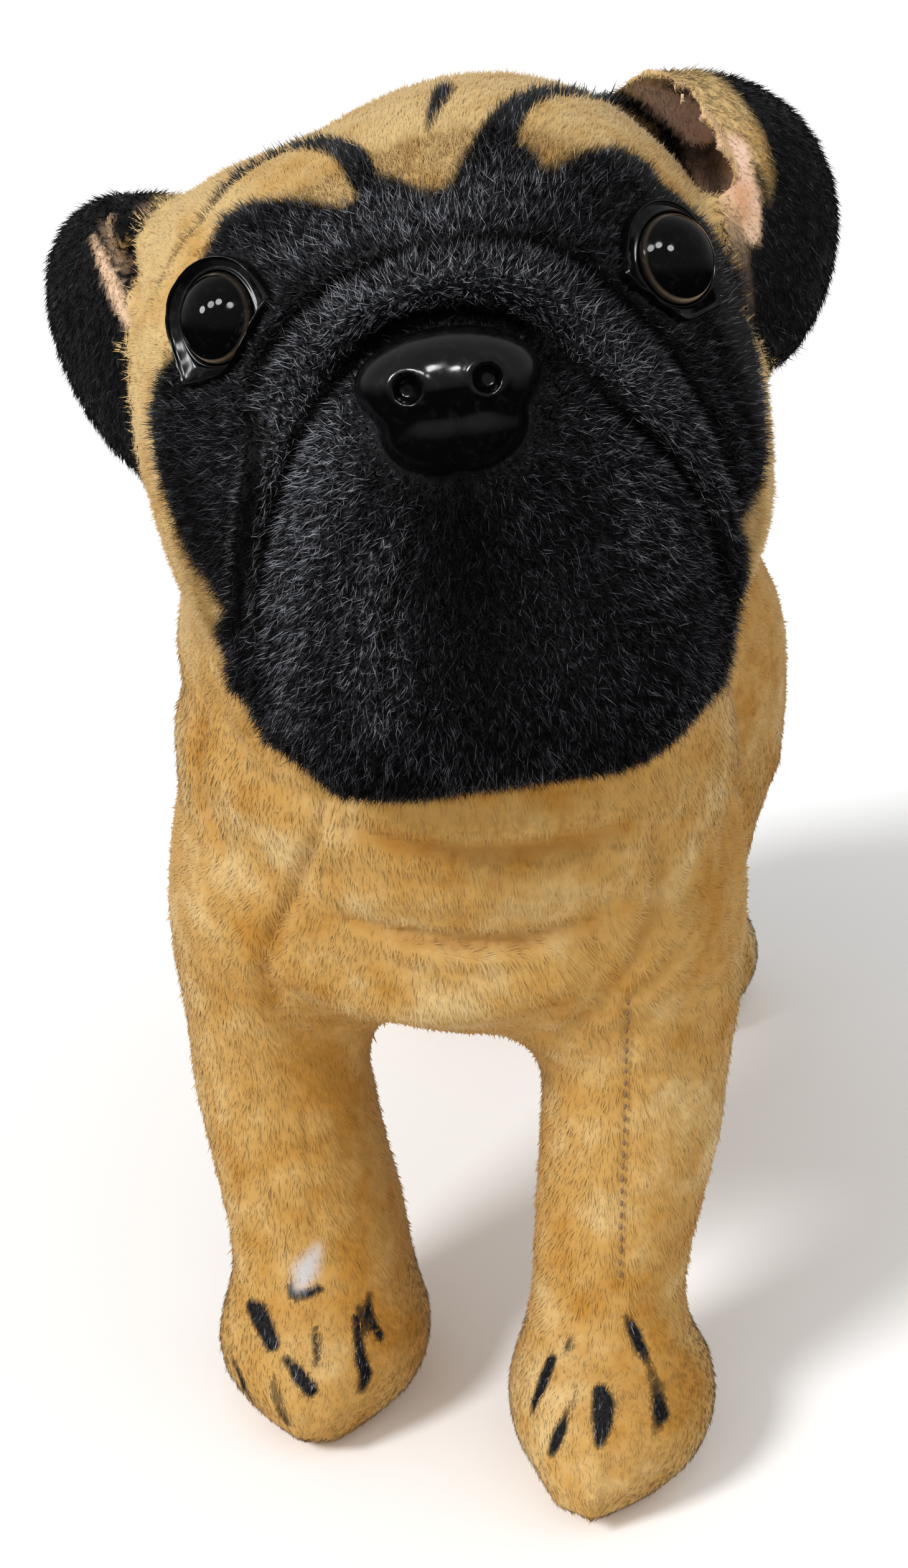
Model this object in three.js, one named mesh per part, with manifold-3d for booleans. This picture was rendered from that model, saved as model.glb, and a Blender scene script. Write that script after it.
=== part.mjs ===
// A stuffed toy pug that stands on four straight legs and looks up, at its real size in millimetres.
// X runs to the toy's left, Y to its tail and Z up, and the origin is on the floor under the middle of the toy.
// The plush body is one soft form, described by the distance of a point to its surface. Each plush part is a
// three.js sphere whose corners are pushed out to that surface, and is then trimmed where the next part begins.
import * as THREE from "three";
import { mergeVertices } from "three/addons/utils/BufferGeometryUtils.js";
import Module from "manifold-3d";

const wasm = await Module();
wasm.setup();

// Driving dimensions
const clearance = 0.3; // space left between parts that touch
const overshoot = 16; // how far a part is modelled past its cuts before it is trimmed
const chestHalfWidth = 66;
const ankleHeight = 36;
const headHalfWidth = 67;
const headCentre = [-3.5, -66, 260.5];
const headTurn = 9.5; // degrees towards the toy's left
const headLift = 15; // degrees up
const headTilt = 8; // degrees, the left ear is the higher one
const crownLean = 12; // how far the stuffing of the crown has moved to the left
const faceShift = 1.5; // how far the muzzle and the nose sit to the left
const eyeRadius = 9.6;
const eyeSpacing = 83;
const noseWidth = 33;
const middle = [-7.7, 13.6, 0]; // the point on the floor under the middle of the toy, before it is moved to the origin

const vector = (x, y, z) => new THREE.Vector3(x, y, z);
const { degToRad, clamp } = THREE.MathUtils;

// Distance functions: each takes a point and gives its distance to a shape, negative inside it
const ball = (centre, radii) => (p) => {
  const x = p.x - centre[0];
  const y = p.y - centre[1];
  const z = p.z - centre[2];
  const near = Math.hypot(x / radii[0], y / radii[1], z / radii[2]);
  const slope = Math.hypot(x / radii[0] ** 2, y / radii[1] ** 2, z / radii[2] ** 2);
  return slope < 1e-9 ? -Math.min(...radii) : (near * (near - 1)) / slope;
};

// A rope through points, each given as x, y, z and the rope's radius there
const rope = (stops) => (p) => {
  let nearest = Infinity;
  for (let i = 0; i + 1 < stops.length; i++) {
    const [ax, ay, az, ar] = stops[i];
    const [bx, by, bz, br] = stops[i + 1];
    const dx = bx - ax;
    const dy = by - ay;
    const dz = bz - az;
    const along = ((p.x - ax) * dx + (p.y - ay) * dy + (p.z - az) * dz) / (dx * dx + dy * dy + dz * dz);
    const t = Math.min(1, Math.max(0, along));
    const away = Math.hypot(p.x - ax - dx * t, p.y - ay - dy * t, p.z - az - dz * t);
    nearest = Math.min(nearest, away - ar - (br - ar) * t);
  }
  return nearest;
};

const roundBox = (centre, half, rounding) => (p) => {
  const x = Math.abs(p.x - centre[0]) - half[0] + rounding;
  const y = Math.abs(p.y - centre[1]) - half[1] + rounding;
  const z = Math.abs(p.z - centre[2]) - half[2] + rounding;
  const outside = Math.hypot(Math.max(x, 0), Math.max(y, 0), Math.max(z, 0));
  return outside + Math.min(Math.max(x, y, z), 0) - rounding;
};

const softUnion = (softness, ...shapes) => (p) =>
  shapes.reduce((a, shape) => {
    const b = shape(p);
    const h = Math.max(softness - Math.abs(a - b), 0) / softness;
    return Math.min(a, b) - (h * h * softness) / 4;
  }, 1e3);

const bothSides = (make) => [make(-1), make(1)];
const mirrored = (stops) => [...stops.slice(1).reverse().map(([x, ...rest]) => [-x, ...rest]), ...stops];

// The head in its own frame: it looks along -Y, and the nose is at the height of the origin
const headFrame = new THREE.Matrix4()
  .makeTranslation(...headCentre)
  .multiply(new THREE.Matrix4().makeRotationZ(degToRad(headTurn)))
  .multiply(new THREE.Matrix4().makeRotationX(-degToRad(headLift)))
  .multiply(new THREE.Matrix4().makeRotationY(-degToRad(headTilt)));
const intoHead = headFrame.clone().invert();

const skull = softUnion(
  14,
  ball([-1, 2, 5], [headHalfWidth - 0.5, 60, 51]),
  ball([crownLean, 0, 22], [44, 50, 42]),
  ball([5, -20, 22], [46, 29, 28]),
  ball([-35, -3, 25], [26, 36, 25]), // the right temple, which the lean of the crown leaves fuller
  ...bothSides((side) => ball([side * 30 + 1.5, -8, -22], [35, 38, 42])),
);
const muzzleShape = softUnion(
  8,
  roundBox([faceShift, -40, -33], [45.5, 28, 46], 26),
  ball([faceShift, -48, -14], [34, 22, 26]),
);
const noseFold = rope(
  mirrored([
    [0, -54, 24, 7],
    [15, -53, 23, 7],
    [27, -49, 17, 7],
    [37, -44, 7, 7],
    [43, -39, -7, 7],
    [46, -36, -24, 7],
    [46, -35, -44, 7],
    [42, -36, -60, 7],
  ]).map(([x, ...rest]) => [x + faceShift, ...rest]),
);
const headShape = softUnion(7, softUnion(7, skull, noseFold), muzzleShape);
const scratch = new THREE.Vector3();
const head = (p) => headShape(scratch.copy(p).applyMatrix4(intoHead));

// The trunk, the neck and the four legs
const trunkShape = softUnion(
  22,
  ball([-3, -46, 150], [chestHalfWidth - 6, 57, 48]),
  ball([-2, 30, 144], [54, 98, 43]),
  ball([0, 106, 144], [58.5, 54, 48]),
  ...bothSides((side) => ball([side * 44.5 - 4.5, -54, 136], [21, 34, 46])),
  ...bothSides((side) => ball([side * 39, 112, 124], [25, 40, 37])),
);
const neckShape = softUnion(10, ball([-3, -60, 206], [64, 54, 34]), ball([-3.5, -56, 178], [65.5, 55, 36]));

const legs = {
  front_right: {
    bones: [[-48, -54, 128, 25], [-46.5, -58, 84, 22.5], [-36, -62, 38, 23], [-35, -64, 20, 20]],
    paw: { centre: [-34, -71, 18], radii: [27.5, 31, 22] },
    toe: [[-33, -80, 14, 14], [-31, -95, 11, 9]],
  },
  front_left: {
    bones: [[42, -56, 128, 23], [40.5, -64, 84, 22.5], [36, -74, 38, 18.5], [38, -78, 20, 19]],
    paw: { centre: [40, -83, 18], radii: [26, 33, 22] },
    toe: [[39, -92, 14, 14], [37.5, -111, 11, 9]],
  },
  hind_right: {
    bones: [[-41, 114, 108, 26], [-39, 114, 78, 20.5], [-37, 140, 44, 17], [-38, 142, 20, 17]],
    paw: { centre: [-38.5, 143, 16], radii: [23, 31, 20] },
    toe: [[-38, 132, 13, 12], [-38, 117, 11, 9]],
  },
  hind_left: {
    bones: [[41, 114, 108, 26], [39, 114, 78, 20.5], [37, 140, 44, 17], [38, 142, 20, 17]],
    paw: { centre: [38.5, 143, 16], radii: [23, 31, 20] },
    toe: [[38, 132, 13, 12], [38, 117, 11, 9]],
  },
};
const limbShape = softUnion(
  8,
  ...Object.values(legs).map(({ bones, paw, toe }) =>
    softUnion(9, rope(bones), ball(paw.centre, paw.radii), rope(toe)),
  ),
);
const plush = softUnion(6, softUnion(10, softUnion(8, trunkShape, neckShape), limbShape), head);

// A plane that parts two nodes: a point on it, and the direction of the side that is kept
const cut = (point, normal) => ({ point: vector(...point), normal: vector(...normal).normalize() });
const turned = ({ point, normal }) => ({ point, normal: normal.clone().negate() });
const offCut = (p, { point, normal }) => -normal.dot(p.clone().sub(point));
const within = (shape, cuts) => (p) => Math.max(shape(p), ...cuts.map((plane) => offCut(p, plane) - overshoot));

// Pushes a point from a start inside a shape out along a direction, until it reaches the surface
function reach(start, direction, shape) {
  const p = start.clone();
  for (let i = 0; i < 150; i++) {
    const d = shape(p);
    if (d > -0.004) break;
    p.addScaledVector(direction, Math.max(-d * 0.6, 0.004));
  }
  return p;
}

// A closed part round one point: the corners of a sphere are pushed out to the shape
function roundPoint({ centre, pole, around, rings, front = 1, stretch = [1, 1, 1], shape }) {
  const geometry = new THREE.SphereGeometry(1, around, rings);
  const turn = new THREE.Quaternion().setFromUnitVectors(vector(0, 1, 0), vector(...pole).normalize());
  const position = geometry.getAttribute("position");
  const corner = new THREE.Vector3();
  for (let i = 0; i < position.count; i++) {
    corner.fromBufferAttribute(position, i);
    const share = Math.acos(clamp(corner.y, -1, 1)) / Math.PI;
    const angle = Math.PI * share * (front + (1 - front) * share);
    const width = Math.hypot(corner.x, corner.z);
    if (width > 1e-6) {
      corner.set((corner.x / width) * Math.sin(angle), Math.cos(angle), (corner.z / width) * Math.sin(angle));
    }
    corner.applyQuaternion(turn).multiply(vector(...stretch)).normalize();
    const placed = reach(vector(...centre), corner, shape);
    position.setXYZ(i, placed.x, placed.y, placed.z);
  }
  return solid(geometry);
}

// A closed part along a line of points: rings of corners are pushed out from the line, with a fan at each end
function alongLine({ line, across, around, rings, fan = 3, shape }) {
  const curve = new THREE.CatmullRomCurve3(line.map((stop) => vector(...stop)));
  const geometry = new THREE.SphereGeometry(1, around, rings);
  const position = geometry.getAttribute("position");
  const corner = new THREE.Vector3();
  for (let i = 0; i < position.count; i++) {
    corner.fromBufferAttribute(position, i);
    const ring = (Math.acos(clamp(corner.y, -1, 1)) / Math.PI) * rings;
    const t = clamp((ring - fan) / (rings - 2 * fan), 0, 1);
    const lean = ring < fan ? 1 - ring / fan : Math.min(0, rings - fan - ring) / fan;
    const tangent = curve.getTangent(t);
    const side = vector(...across).cross(tangent).normalize();
    const up = tangent.clone().cross(side);
    const angle = Math.atan2(corner.z, corner.x);
    const direction = side
      .multiplyScalar(Math.cos(angle))
      .addScaledVector(up, Math.sin(angle))
      .multiplyScalar(Math.cos((lean * Math.PI) / 2))
      .addScaledVector(tangent, -Math.sin((lean * Math.PI) / 2));
    const placed = reach(curve.getPoint(t), direction.normalize(), shape);
    position.setXYZ(i, placed.x, placed.y, placed.z);
  }
  return solid(geometry);
}

// manifold-3d solids from closed geometry, for cuts and joins
function solid(geometry) {
  const bare = geometry.index ? geometry.toNonIndexed() : geometry.clone();
  for (const name of ["normal", "uv"]) bare.deleteAttribute(name);
  const merged = mergeVertices(bare, 1e-4);
  const triangles = [];
  for (let i = 0; i < merged.index.count; i += 3) {
    const [a, b, c] = [0, 1, 2].map((k) => merged.index.getX(i + k));
    if (a !== b && b !== c && c !== a) triangles.push([a, b, c]);
  }
  const vertProperties = merged.attributes.position.array;
  const build = (order) =>
    new wasm.Manifold(
      new wasm.Mesh({ numProp: 3, vertProperties, triVerts: new Uint32Array(triangles.flatMap(order)) }),
    );
  const made = build((corners) => corners);
  return made.volume() > 0 ? made : build(([a, b, c]) => [b, a, c]);
}

// A big block on the side of a plane that is cut away, which leaves half of the clearance
function beyond({ point, normal }, space = clearance / 2) {
  const size = 900;
  const block = new THREE.BoxGeometry(size, size, size).translate(0, 0, -size / 2 + space);
  block.applyQuaternion(new THREE.Quaternion().setFromUnitVectors(vector(0, 0, 1), normal));
  return solid(block.translate(point.x, point.y, point.z));
}

const trim = (made, cuts) => cuts.reduce((rest, plane) => rest.subtract(beyond(plane)), made);
const largest = (made) => made.decompose().reduce((a, b) => (b.volume() > a.volume() ? b : a));

const toy = new THREE.Group();

function addNode(name, made, finish) {
  const { vertProperties, triVerts } = largest(made).getMesh();
  const geometry = new THREE.BufferGeometry();
  geometry.setAttribute("position", new THREE.BufferAttribute(new Float32Array(vertProperties), 3));
  geometry.setIndex(new THREE.BufferAttribute(new Uint32Array(triVerts), 1));
  geometry.translate(-middle[0], -middle[1], -middle[2]);
  geometry.computeVertexNormals();
  const mesh = new THREE.Mesh(geometry, new THREE.MeshStandardMaterial(finish));
  mesh.name = name;
  toy.add(mesh);
}

const fawnPlush = { color: 0xc58b45, roughness: 0.95 };
const blackPlush = { color: 0x17161a, roughness: 0.95 };
const darkPlush = { color: 0x2c221b, roughness: 0.95 };
const blackPlastic = { color: 0x050505, roughness: 0.12 };

// Where the parts meet
const throat = cut([0, -112, 188], [0, -0.42, 0.91]); // keeps the head
const collar = cut([0, -100, 156], [0, -0.3, 0.95]); // keeps the neck
const mask = cut(vector(0, -31, 0).applyMatrix4(headFrame).toArray(), [
  ...vector(0, -1, -0.18).transformDirection(headFrame).toArray(),
]); // keeps the face
const floor = cut([0, 0, 0], [0, 0, 1]);

// Head and face, from one form
const headRays = {
  centre: vector(0, -4, -4).applyMatrix4(headFrame).toArray(),
  pole: vector(0, -1, -0.3).transformDirection(headFrame).toArray(),
  around: 64,
  rings: 42,
  front: 0.72,
};
const headSolid = roundPoint({ ...headRays, shape: within(plush, [throat]) });
const headWithSpace = roundPoint({ ...headRays, shape: (p) => within(plush, [throat])(p) - clearance });
addNode("head", trim(headSolid, [throat, turned(mask)]), fawnPlush);
addNode("face", trim(headSolid, [throat, mask]), blackPlush);

// Parts of the head are made in its own frame and end on its surface
const onHead = (made) => made.transform(headFrame.elements).subtract(headWithSpace);

// Nose, with two nostrils
const noseShape = softUnion(
  7,
  ball([faceShift, -66, 3], [noseWidth / 2 - 0.2, 13, 8.8]),
  ball([faceShift, -67, -5], [11.5, 12, 10]),
);
const nostril = (side) =>
  solid(
    new THREE.CylinderGeometry(2.5, 1.8, 6, 20)
      .rotateX(Math.PI / 2)
      .rotateZ(side * degToRad(16))
      .translate(faceShift + side * 6.9, -78.5, 3.4),
  );
const noseBody = roundPoint({
  centre: [faceShift, -68, 0],
  pole: [0, -1, 0],
  around: 32,
  rings: 18,
  shape: noseShape,
});
addNode("nose", onHead(bothSides(nostril).reduce((made, hole) => made.subtract(hole), noseBody)), blackPlastic);

// Eyes and the frames round them, which follow the face: a disc with an inner and a lower outer corner
const eyeNames = { "-1": "right", 1: "left" };
const lidThickness = 2.4;
const frameRadius = 12;
const frameCorner = 15.5; // how far a corner lies from the middle
const frameCorners = [6, -126]; // degrees from the inner side of the eye, upwards
const frameSteps = 48;
function frameEdge(side, angle) {
  const wedge = Math.acos(frameRadius / frameCorner);
  const radii = frameCorners.map((corner) => {
    const turn = angle - (side < 0 ? degToRad(corner) : Math.PI - degToRad(corner));
    const away = Math.abs(Math.atan2(Math.sin(turn), Math.cos(turn)));
    return away < wedge ? frameRadius / Math.cos(wedge - away) : frameRadius;
  });
  return Math.max(...radii);
}
const headWithLids = roundPoint({ ...headRays, shape: (p) => within(plush, [throat])(p) - clearance - lidThickness });
for (const side of [-1, 1]) {
  const eyeCentre = vector(2 * faceShift + (side * eyeSpacing) / 2, -39, 19.5);
  const gaze = vector(side * 0.66, -1, 0.15).normalize();
  const turn = new THREE.Matrix4().lookAt(gaze, vector(0, 0, 0), vector(0, 0, 1));
  const place = turn.clone().setPosition(eyeCentre);
  const eyeball = (radius) =>
    solid(new THREE.SphereGeometry(radius, 28, 18).rotateX(Math.PI / 2).applyMatrix4(place));
  const edge = Array.from({ length: frameSteps }, (_, i) => {
    const angle = (i / frameSteps) * 2 * Math.PI;
    return new THREE.Vector2(Math.cos(angle), Math.sin(angle)).multiplyScalar(frameEdge(side, angle));
  });
  const frame = new THREE.ExtrudeGeometry(new THREE.Shape(edge), { depth: 36, bevelEnabled: false });
  frame.translate(0, 0, -16).applyMatrix4(place);
  const lids = solid(frame).subtract(eyeball(eyeRadius + clearance));
  addNode(`eye_${eyeNames[side]}`, onHead(eyeball(eyeRadius)), blackPlastic);
  addNode(`eyelids_${eyeNames[side]}`, onHead(lids).intersect(headWithLids), blackPlastic);
}

// Ears: folded flaps between a front edge, a middle line and a rear edge, thickest along the middle
const earLines = [
  [[38, 0, 54], [52, -12, 62], [63, -21, 34], [61, -19, 2]],
  [[50, 18, 42], [80, 16, 60], [92, 2, 28], [68, -8, -3]],
  [[58, 32, 22], [77, 34, 28], [85, 18, 10], [70, 2, -3]],
];
const earThickness = 5;
// The ears are not alike: how far each control point of a line is moved. The right one grows from lower down, and its
// front edge is turned further out.
const earMoves = {
  "-1": [[-7, 0, -7], [-1, 0, 1], [4, 0, -1], [3, 0, -6]],
  1: [[1, 0, 2], [2, 0, 5], [3.5, 0, 2], [1, 0, -1]],
};
const frontMoves = {
  "-1": [[0, 0, 0], [-9, 0, -9], [-7, 0, -4], [0, 0, 0]],
  1: [[0, 0, 0], [0, 0, 0], [0, 0, 0], [0, 0, 0]],
};
function earSurface(side, u, v) {
  const [front, ridge, rear] = earLines.map((line, k) => {
    const stops = line.map(([x, y, z], i) => {
      const stop = vector(side * x, y, z).add(vector(...earMoves[side][i]));
      return k === 0 ? stop.add(vector(...frontMoves[side][i])) : stop;
    });
    return new THREE.CubicBezierCurve3(...stops).getPoint(u);
  });
  return front
    .multiplyScalar((1 - v) * (1 - 2 * v))
    .addScaledVector(ridge, 4 * v * (1 - v))
    .addScaledVector(rear, v * (2 * v - 1));
}
function ear(side) {
  const [long, wide] = [16, 10];
  const corner = (u, v, face) => {
    const step = 0.01;
    const p = earSurface(side, u, v);
    const alongU = earSurface(side, Math.min(u + step, 1), v).sub(earSurface(side, Math.max(u - step, 0), v));
    const alongV = earSurface(side, u, Math.min(v + step, 1)).sub(earSurface(side, u, Math.max(v - step, 0)));
    const normal = alongU.cross(alongV).normalize();
    const half = (earThickness / 2) * Math.sqrt(Math.sin(Math.PI * v) * Math.sin(Math.PI * (u * 0.94 + 0.06)));
    return u === 0 || u === 1 || v === 0 || v === 1 ? p : p.addScaledVector(normal, face * half);
  };
  const positions = [];
  for (const face of [-1, 1]) {
    for (let i = 0; i < long; i++) {
      for (let j = 0; j < wide; j++) {
        const [a, b, c, d] = [[i, j], [i + 1, j], [i + 1, j + 1], [i, j + 1]].map(([m, n]) =>
          corner(m / long, n / wide, face),
        );
        const quad = face > 0 ? [a, b, c, a, c, d] : [a, c, b, a, d, c];
        positions.push(...quad.flatMap((p) => p.toArray()));
      }
    }
  }
  const geometry = new THREE.BufferGeometry();
  geometry.setAttribute("position", new THREE.Float32BufferAttribute(positions, 3));
  return solid(geometry);
}
for (const side of [-1, 1]) addNode(`ear_${eyeNames[side]}`, onHead(ear(side)), darkPlush);

// Neck
addNode(
  "neck",
  trim(
    roundPoint({
      centre: [0, -60, 184],
      pole: [0, -0.35, 0.94],
      around: 40,
      rings: 14,
      stretch: [1, 1, 0.35],
      shape: within(plush, [turned(throat), collar]),
    }),
    [turned(throat), collar],
  ),
  fawnPlush,
);

// Legs end on a slanted line under the trunk, given by its inner and outer height
const roots = {
  front: { inner: 90, outer: 138, from: -160, to: -22 },
  hind: { inner: 86, outer: 122, from: 62, to: 200 },
};
const reachOut = 80; // how far out from the middle the outer height is measured
const rootHeight = ({ inner, outer }, x) => inner + ((outer - inner) * Math.abs(x)) / reachOut;
function legSpace(side, { inner, outer, from, to }, space) {
  const outline = new THREE.Shape();
  outline.moveTo(1, -30);
  outline.lineTo(reachOut, -30);
  outline.lineTo(reachOut, outer + space);
  outline.lineTo(1, rootHeight({ inner, outer }, 1) + space);
  outline.closePath();
  const block = new THREE.ExtrudeGeometry(outline, { depth: to - from, bevelEnabled: false });
  block.rotateX(Math.PI / 2).translate(0, to, 0).scale(side, 1, 1);
  return solid(block);
}
const rootAt = (p) => (p.y < 20 ? roots.front : roots.hind);
const trunkField = (p) => Math.max(within(plush, [turned(collar)])(p), rootHeight(rootAt(p), p.x) - p.z - overshoot);
const trunkRays = {
  line: [[0, -58, 142], [0, -20, 142], [0, 60, 142], [0, 112, 142]],
  across: [0, 0, 1],
  around: 36,
  rings: 28,
  fan: 7,
};
const legSpaces = Object.values(roots).flatMap((root) => bothSides((side) => legSpace(side, root, clearance)));
const trunk = trim(alongLine({ ...trunkRays, shape: trunkField }), [turned(collar)]);
addNode("torso", legSpaces.reduce((rest, space) => rest.subtract(space), trunk), fawnPlush);

// Legs and paws
for (const [name, { bones, paw }] of Object.entries(legs)) {
  const side = Math.sign(paw.centre[0]);
  const root = name.startsWith("front") ? roots.front : roots.hind;
  const ankle = cut([paw.centre[0], bones[2][1], ankleHeight], [0, 0.25, 0.97]);
  const line = bones.slice(0, 3).map(([x, y, z], i) => [x, y, i === 0 ? z - 22 : z]);
  const field = (p) => Math.max(plush(p), p.z - rootHeight(root, p.x) - overshoot, 1 - side * p.x);
  const leg = alongLine({
    line,
    across: [0, 1, 0],
    around: 22,
    rings: 14,
    fan: 4,
    shape: within(field, [ankle]),
  });
  addNode(`leg_${name}`, trim(leg, [ankle]).intersect(legSpace(side, root, 0)), fawnPlush);
  const foot = roundPoint({
    centre: [paw.centre[0], paw.centre[1] + 4, 15],
    pole: [0, 0, 1],
    around: 24,
    rings: 14,
    shape: within(plush, [turned(ankle)]),
  });
  addNode(`paw_${name}`, trim(foot, [turned(ankle)]).subtract(beyond(floor, 0)), fawnPlush);
}

// Tail, a curl that lies over the rump
const tailCurl = { centre: [2, 133, 194], radius: 18, from: -65, to: 165, steps: 12 };
const tailStops = [];
for (let i = 0; i <= tailCurl.steps; i++) {
  const share = i / tailCurl.steps;
  const turn = degToRad(tailCurl.from + (tailCurl.to - tailCurl.from) * share);
  const bend = tailCurl.radius * (1 - 0.1 * share);
  const [x, y, z] = tailCurl.centre;
  tailStops.push([x + 10 * share, y + bend * Math.cos(turn), z + bend * Math.sin(turn), 12 - 4 * share]);
}
const tail = alongLine({
  line: tailStops.map(([x, y, z]) => [x, y, z]),
  across: [1, 0, 0],
  around: 14,
  rings: 22,
  fan: 3,
  shape: rope(tailStops),
});
const trunkWithSpace = alongLine({ ...trunkRays, shape: (p) => trunkField(p) - clearance });
addNode("tail", tail.subtract(trunkWithSpace), fawnPlush);

export default toy;
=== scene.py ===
"""A standing plush toy pug: sewn skin, pile, dyed marks, moulded eyes and nose, floor, light and camera."""

from __future__ import annotations

import logging
import math
from dataclasses import dataclass, field
from enum import Enum

import bmesh
import bpy
import numpy as np
from bpy.types import ID, Material, Mesh, Node, NodeSocket, NodeTree, Object, bpy_prop_collection
from mathutils import Matrix, Vector
from mathutils.bvhtree import BVHTree

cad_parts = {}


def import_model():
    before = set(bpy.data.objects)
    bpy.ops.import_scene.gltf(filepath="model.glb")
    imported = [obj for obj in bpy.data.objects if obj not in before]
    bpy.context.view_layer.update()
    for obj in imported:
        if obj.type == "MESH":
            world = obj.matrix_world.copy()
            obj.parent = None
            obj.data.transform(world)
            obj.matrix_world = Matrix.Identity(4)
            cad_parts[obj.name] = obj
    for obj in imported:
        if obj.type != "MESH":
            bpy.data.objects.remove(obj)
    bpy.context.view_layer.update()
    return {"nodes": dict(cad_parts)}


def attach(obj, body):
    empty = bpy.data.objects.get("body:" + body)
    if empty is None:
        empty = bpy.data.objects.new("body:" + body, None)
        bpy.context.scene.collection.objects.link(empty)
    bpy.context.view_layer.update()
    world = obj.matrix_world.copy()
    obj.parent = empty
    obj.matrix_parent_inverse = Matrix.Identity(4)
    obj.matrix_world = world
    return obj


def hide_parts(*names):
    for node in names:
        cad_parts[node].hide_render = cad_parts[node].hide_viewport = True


LOG = logging.getLogger("pug")
MM = 0.001
FRAME_WIDTH = 1459
FRAME_HEIGHT = 2520
FLESH = (
    "head", "face", "ear_right", "ear_left", "neck", "torso",
    "leg_front_right", "leg_front_left", "leg_hind_right", "leg_hind_left",
    "paw_front_right", "paw_front_left", "paw_hind_right", "paw_hind_left", "tail",
)
MARKS = ("dark", "pink", "bare", "deep", "glint", "tint")
CREASE_SHADE = (0.66, 0.46, 0.26)
BLACK_DYE = (0.0022, 0.0022, 0.0028)
# The grey of the black pile's fibre tips, also used for its painted glints.
GREY_TIPS_AND_GLINTS = (0.38, 0.39, 0.44)
LINING_PINKS = ((0.66, 0.43, 0.31), (0.80, 0.58, 0.44))
BARE_CLOTH = (0.50, 0.47, 0.46)
Points = np.ndarray
Triple = tuple[float, float, float]


# Small helpers


def unit(vectors: Points) -> Points:
    """Vectors of length one."""
    return vectors / np.maximum(np.linalg.norm(vectors, axis=-1, keepdims=True), 1e-12)


def ease(values: Points, low: float, high: float) -> Points:
    """A smooth rise from 0 at low to 1 at high."""
    t = np.clip((values - low) / (high - low), 0, 1)
    return t * t * (3 - 2 * t)


def bell(values: Points, width: float) -> Points:
    """A smooth bump of height 1 round zero."""
    return np.exp(-((values / width) ** 2))


def linked(name: str, data: ID | None) -> Object:
    """Makes an object of its data and puts it in the scene."""
    made = bpy.data.objects.new(name, data)
    bpy.context.scene.collection.objects.link(made)
    return made


def wrapped(shape: bmesh.types.BMesh, voxel: float, rounds: int = 0) -> Mesh:
    """Wraps closed shapes in one skin of four-cornered faces.

    Args:
        shape: The shapes. They are freed.
        voxel: The size of the skin's faces, in metres.
        rounds: How often the skin is smoothed.

    Returns:
        The skin's mesh.
    """
    mesh = bpy.data.meshes.new("shapes")
    shape.to_mesh(mesh)
    shape.free()
    holder = linked("shapes", mesh)
    wrap = holder.modifiers.new("wrap", "REMESH")
    wrap.mode, wrap.voxel_size = "VOXEL", voxel
    if rounds:
        even = holder.modifiers.new("even", "SMOOTH")
        even.factor, even.iterations = 0.5, rounds
    skin = bpy.data.meshes.new_from_object(holder.evaluated_get(bpy.context.evaluated_depsgraph_get()))
    bpy.data.objects.remove(holder)
    bpy.data.meshes.remove(mesh)
    return skin


def set_values(mesh: Mesh, name: str, values: Points) -> None:
    """Gives the points of a mesh a named value."""
    mesh.attributes.new(name, "FLOAT", "POINT").data.foreach_set("value", values.astype(np.float32))


def taken(items: bpy_prop_collection, name: str, width: int, kind: type = float) -> Points:
    """The named numbers of all the items in a collection, in rows of the given width."""
    values = np.zeros(len(items) * len(np.atleast_1d(getattr(items[0], name))), kind)
    items.foreach_get(name, values)
    return values.reshape(-1, width)


def on_nodes(owner: Points, *starts: str) -> Points:
    """Which points belong to the soft nodes whose names start with one of the given words."""
    return np.isin(owner, [index for index, name in enumerate(FLESH) if name.startswith(starts)])


@dataclass(frozen=True)
class Spots:
    """Places on the plush: points, the outward directions there, and their nodes as indices in FLESH."""

    at: Points
    out: Points
    owner: Points

    def on(self, *starts: str) -> Points:
        """The indices of the spots on the soft nodes whose names start with one of the given words."""
        return np.nonzero(on_nodes(self.owner, *starts))[0]

    def only(self, choice: Points) -> "Spots":
        """The chosen spots."""
        return Spots(self.at[choice], self.out[choice], self.owner[choice])


def piece_of(mesh: Mesh, name: str, finish: Material, slot: str, nodes: tuple[str, ...] = ()) -> Object:
    """Makes a finished piece that rides on the toy.

    Args:
        mesh: Its mesh, in place.
        name: The piece's name.
        finish: Its material.
        slot: The record's slot; not used.
        nodes: The CAD nodes that it stands for.

    Returns:
        The object.
    """
    mesh.materials.append(finish)
    piece = linked(name, mesh)
    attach(piece, "root")
    if nodes:
        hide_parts(*nodes)
    LOG.info("%s: %d faces", name, len(mesh.polygons))
    return piece


# Viewpoint and the head's own frame


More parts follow.
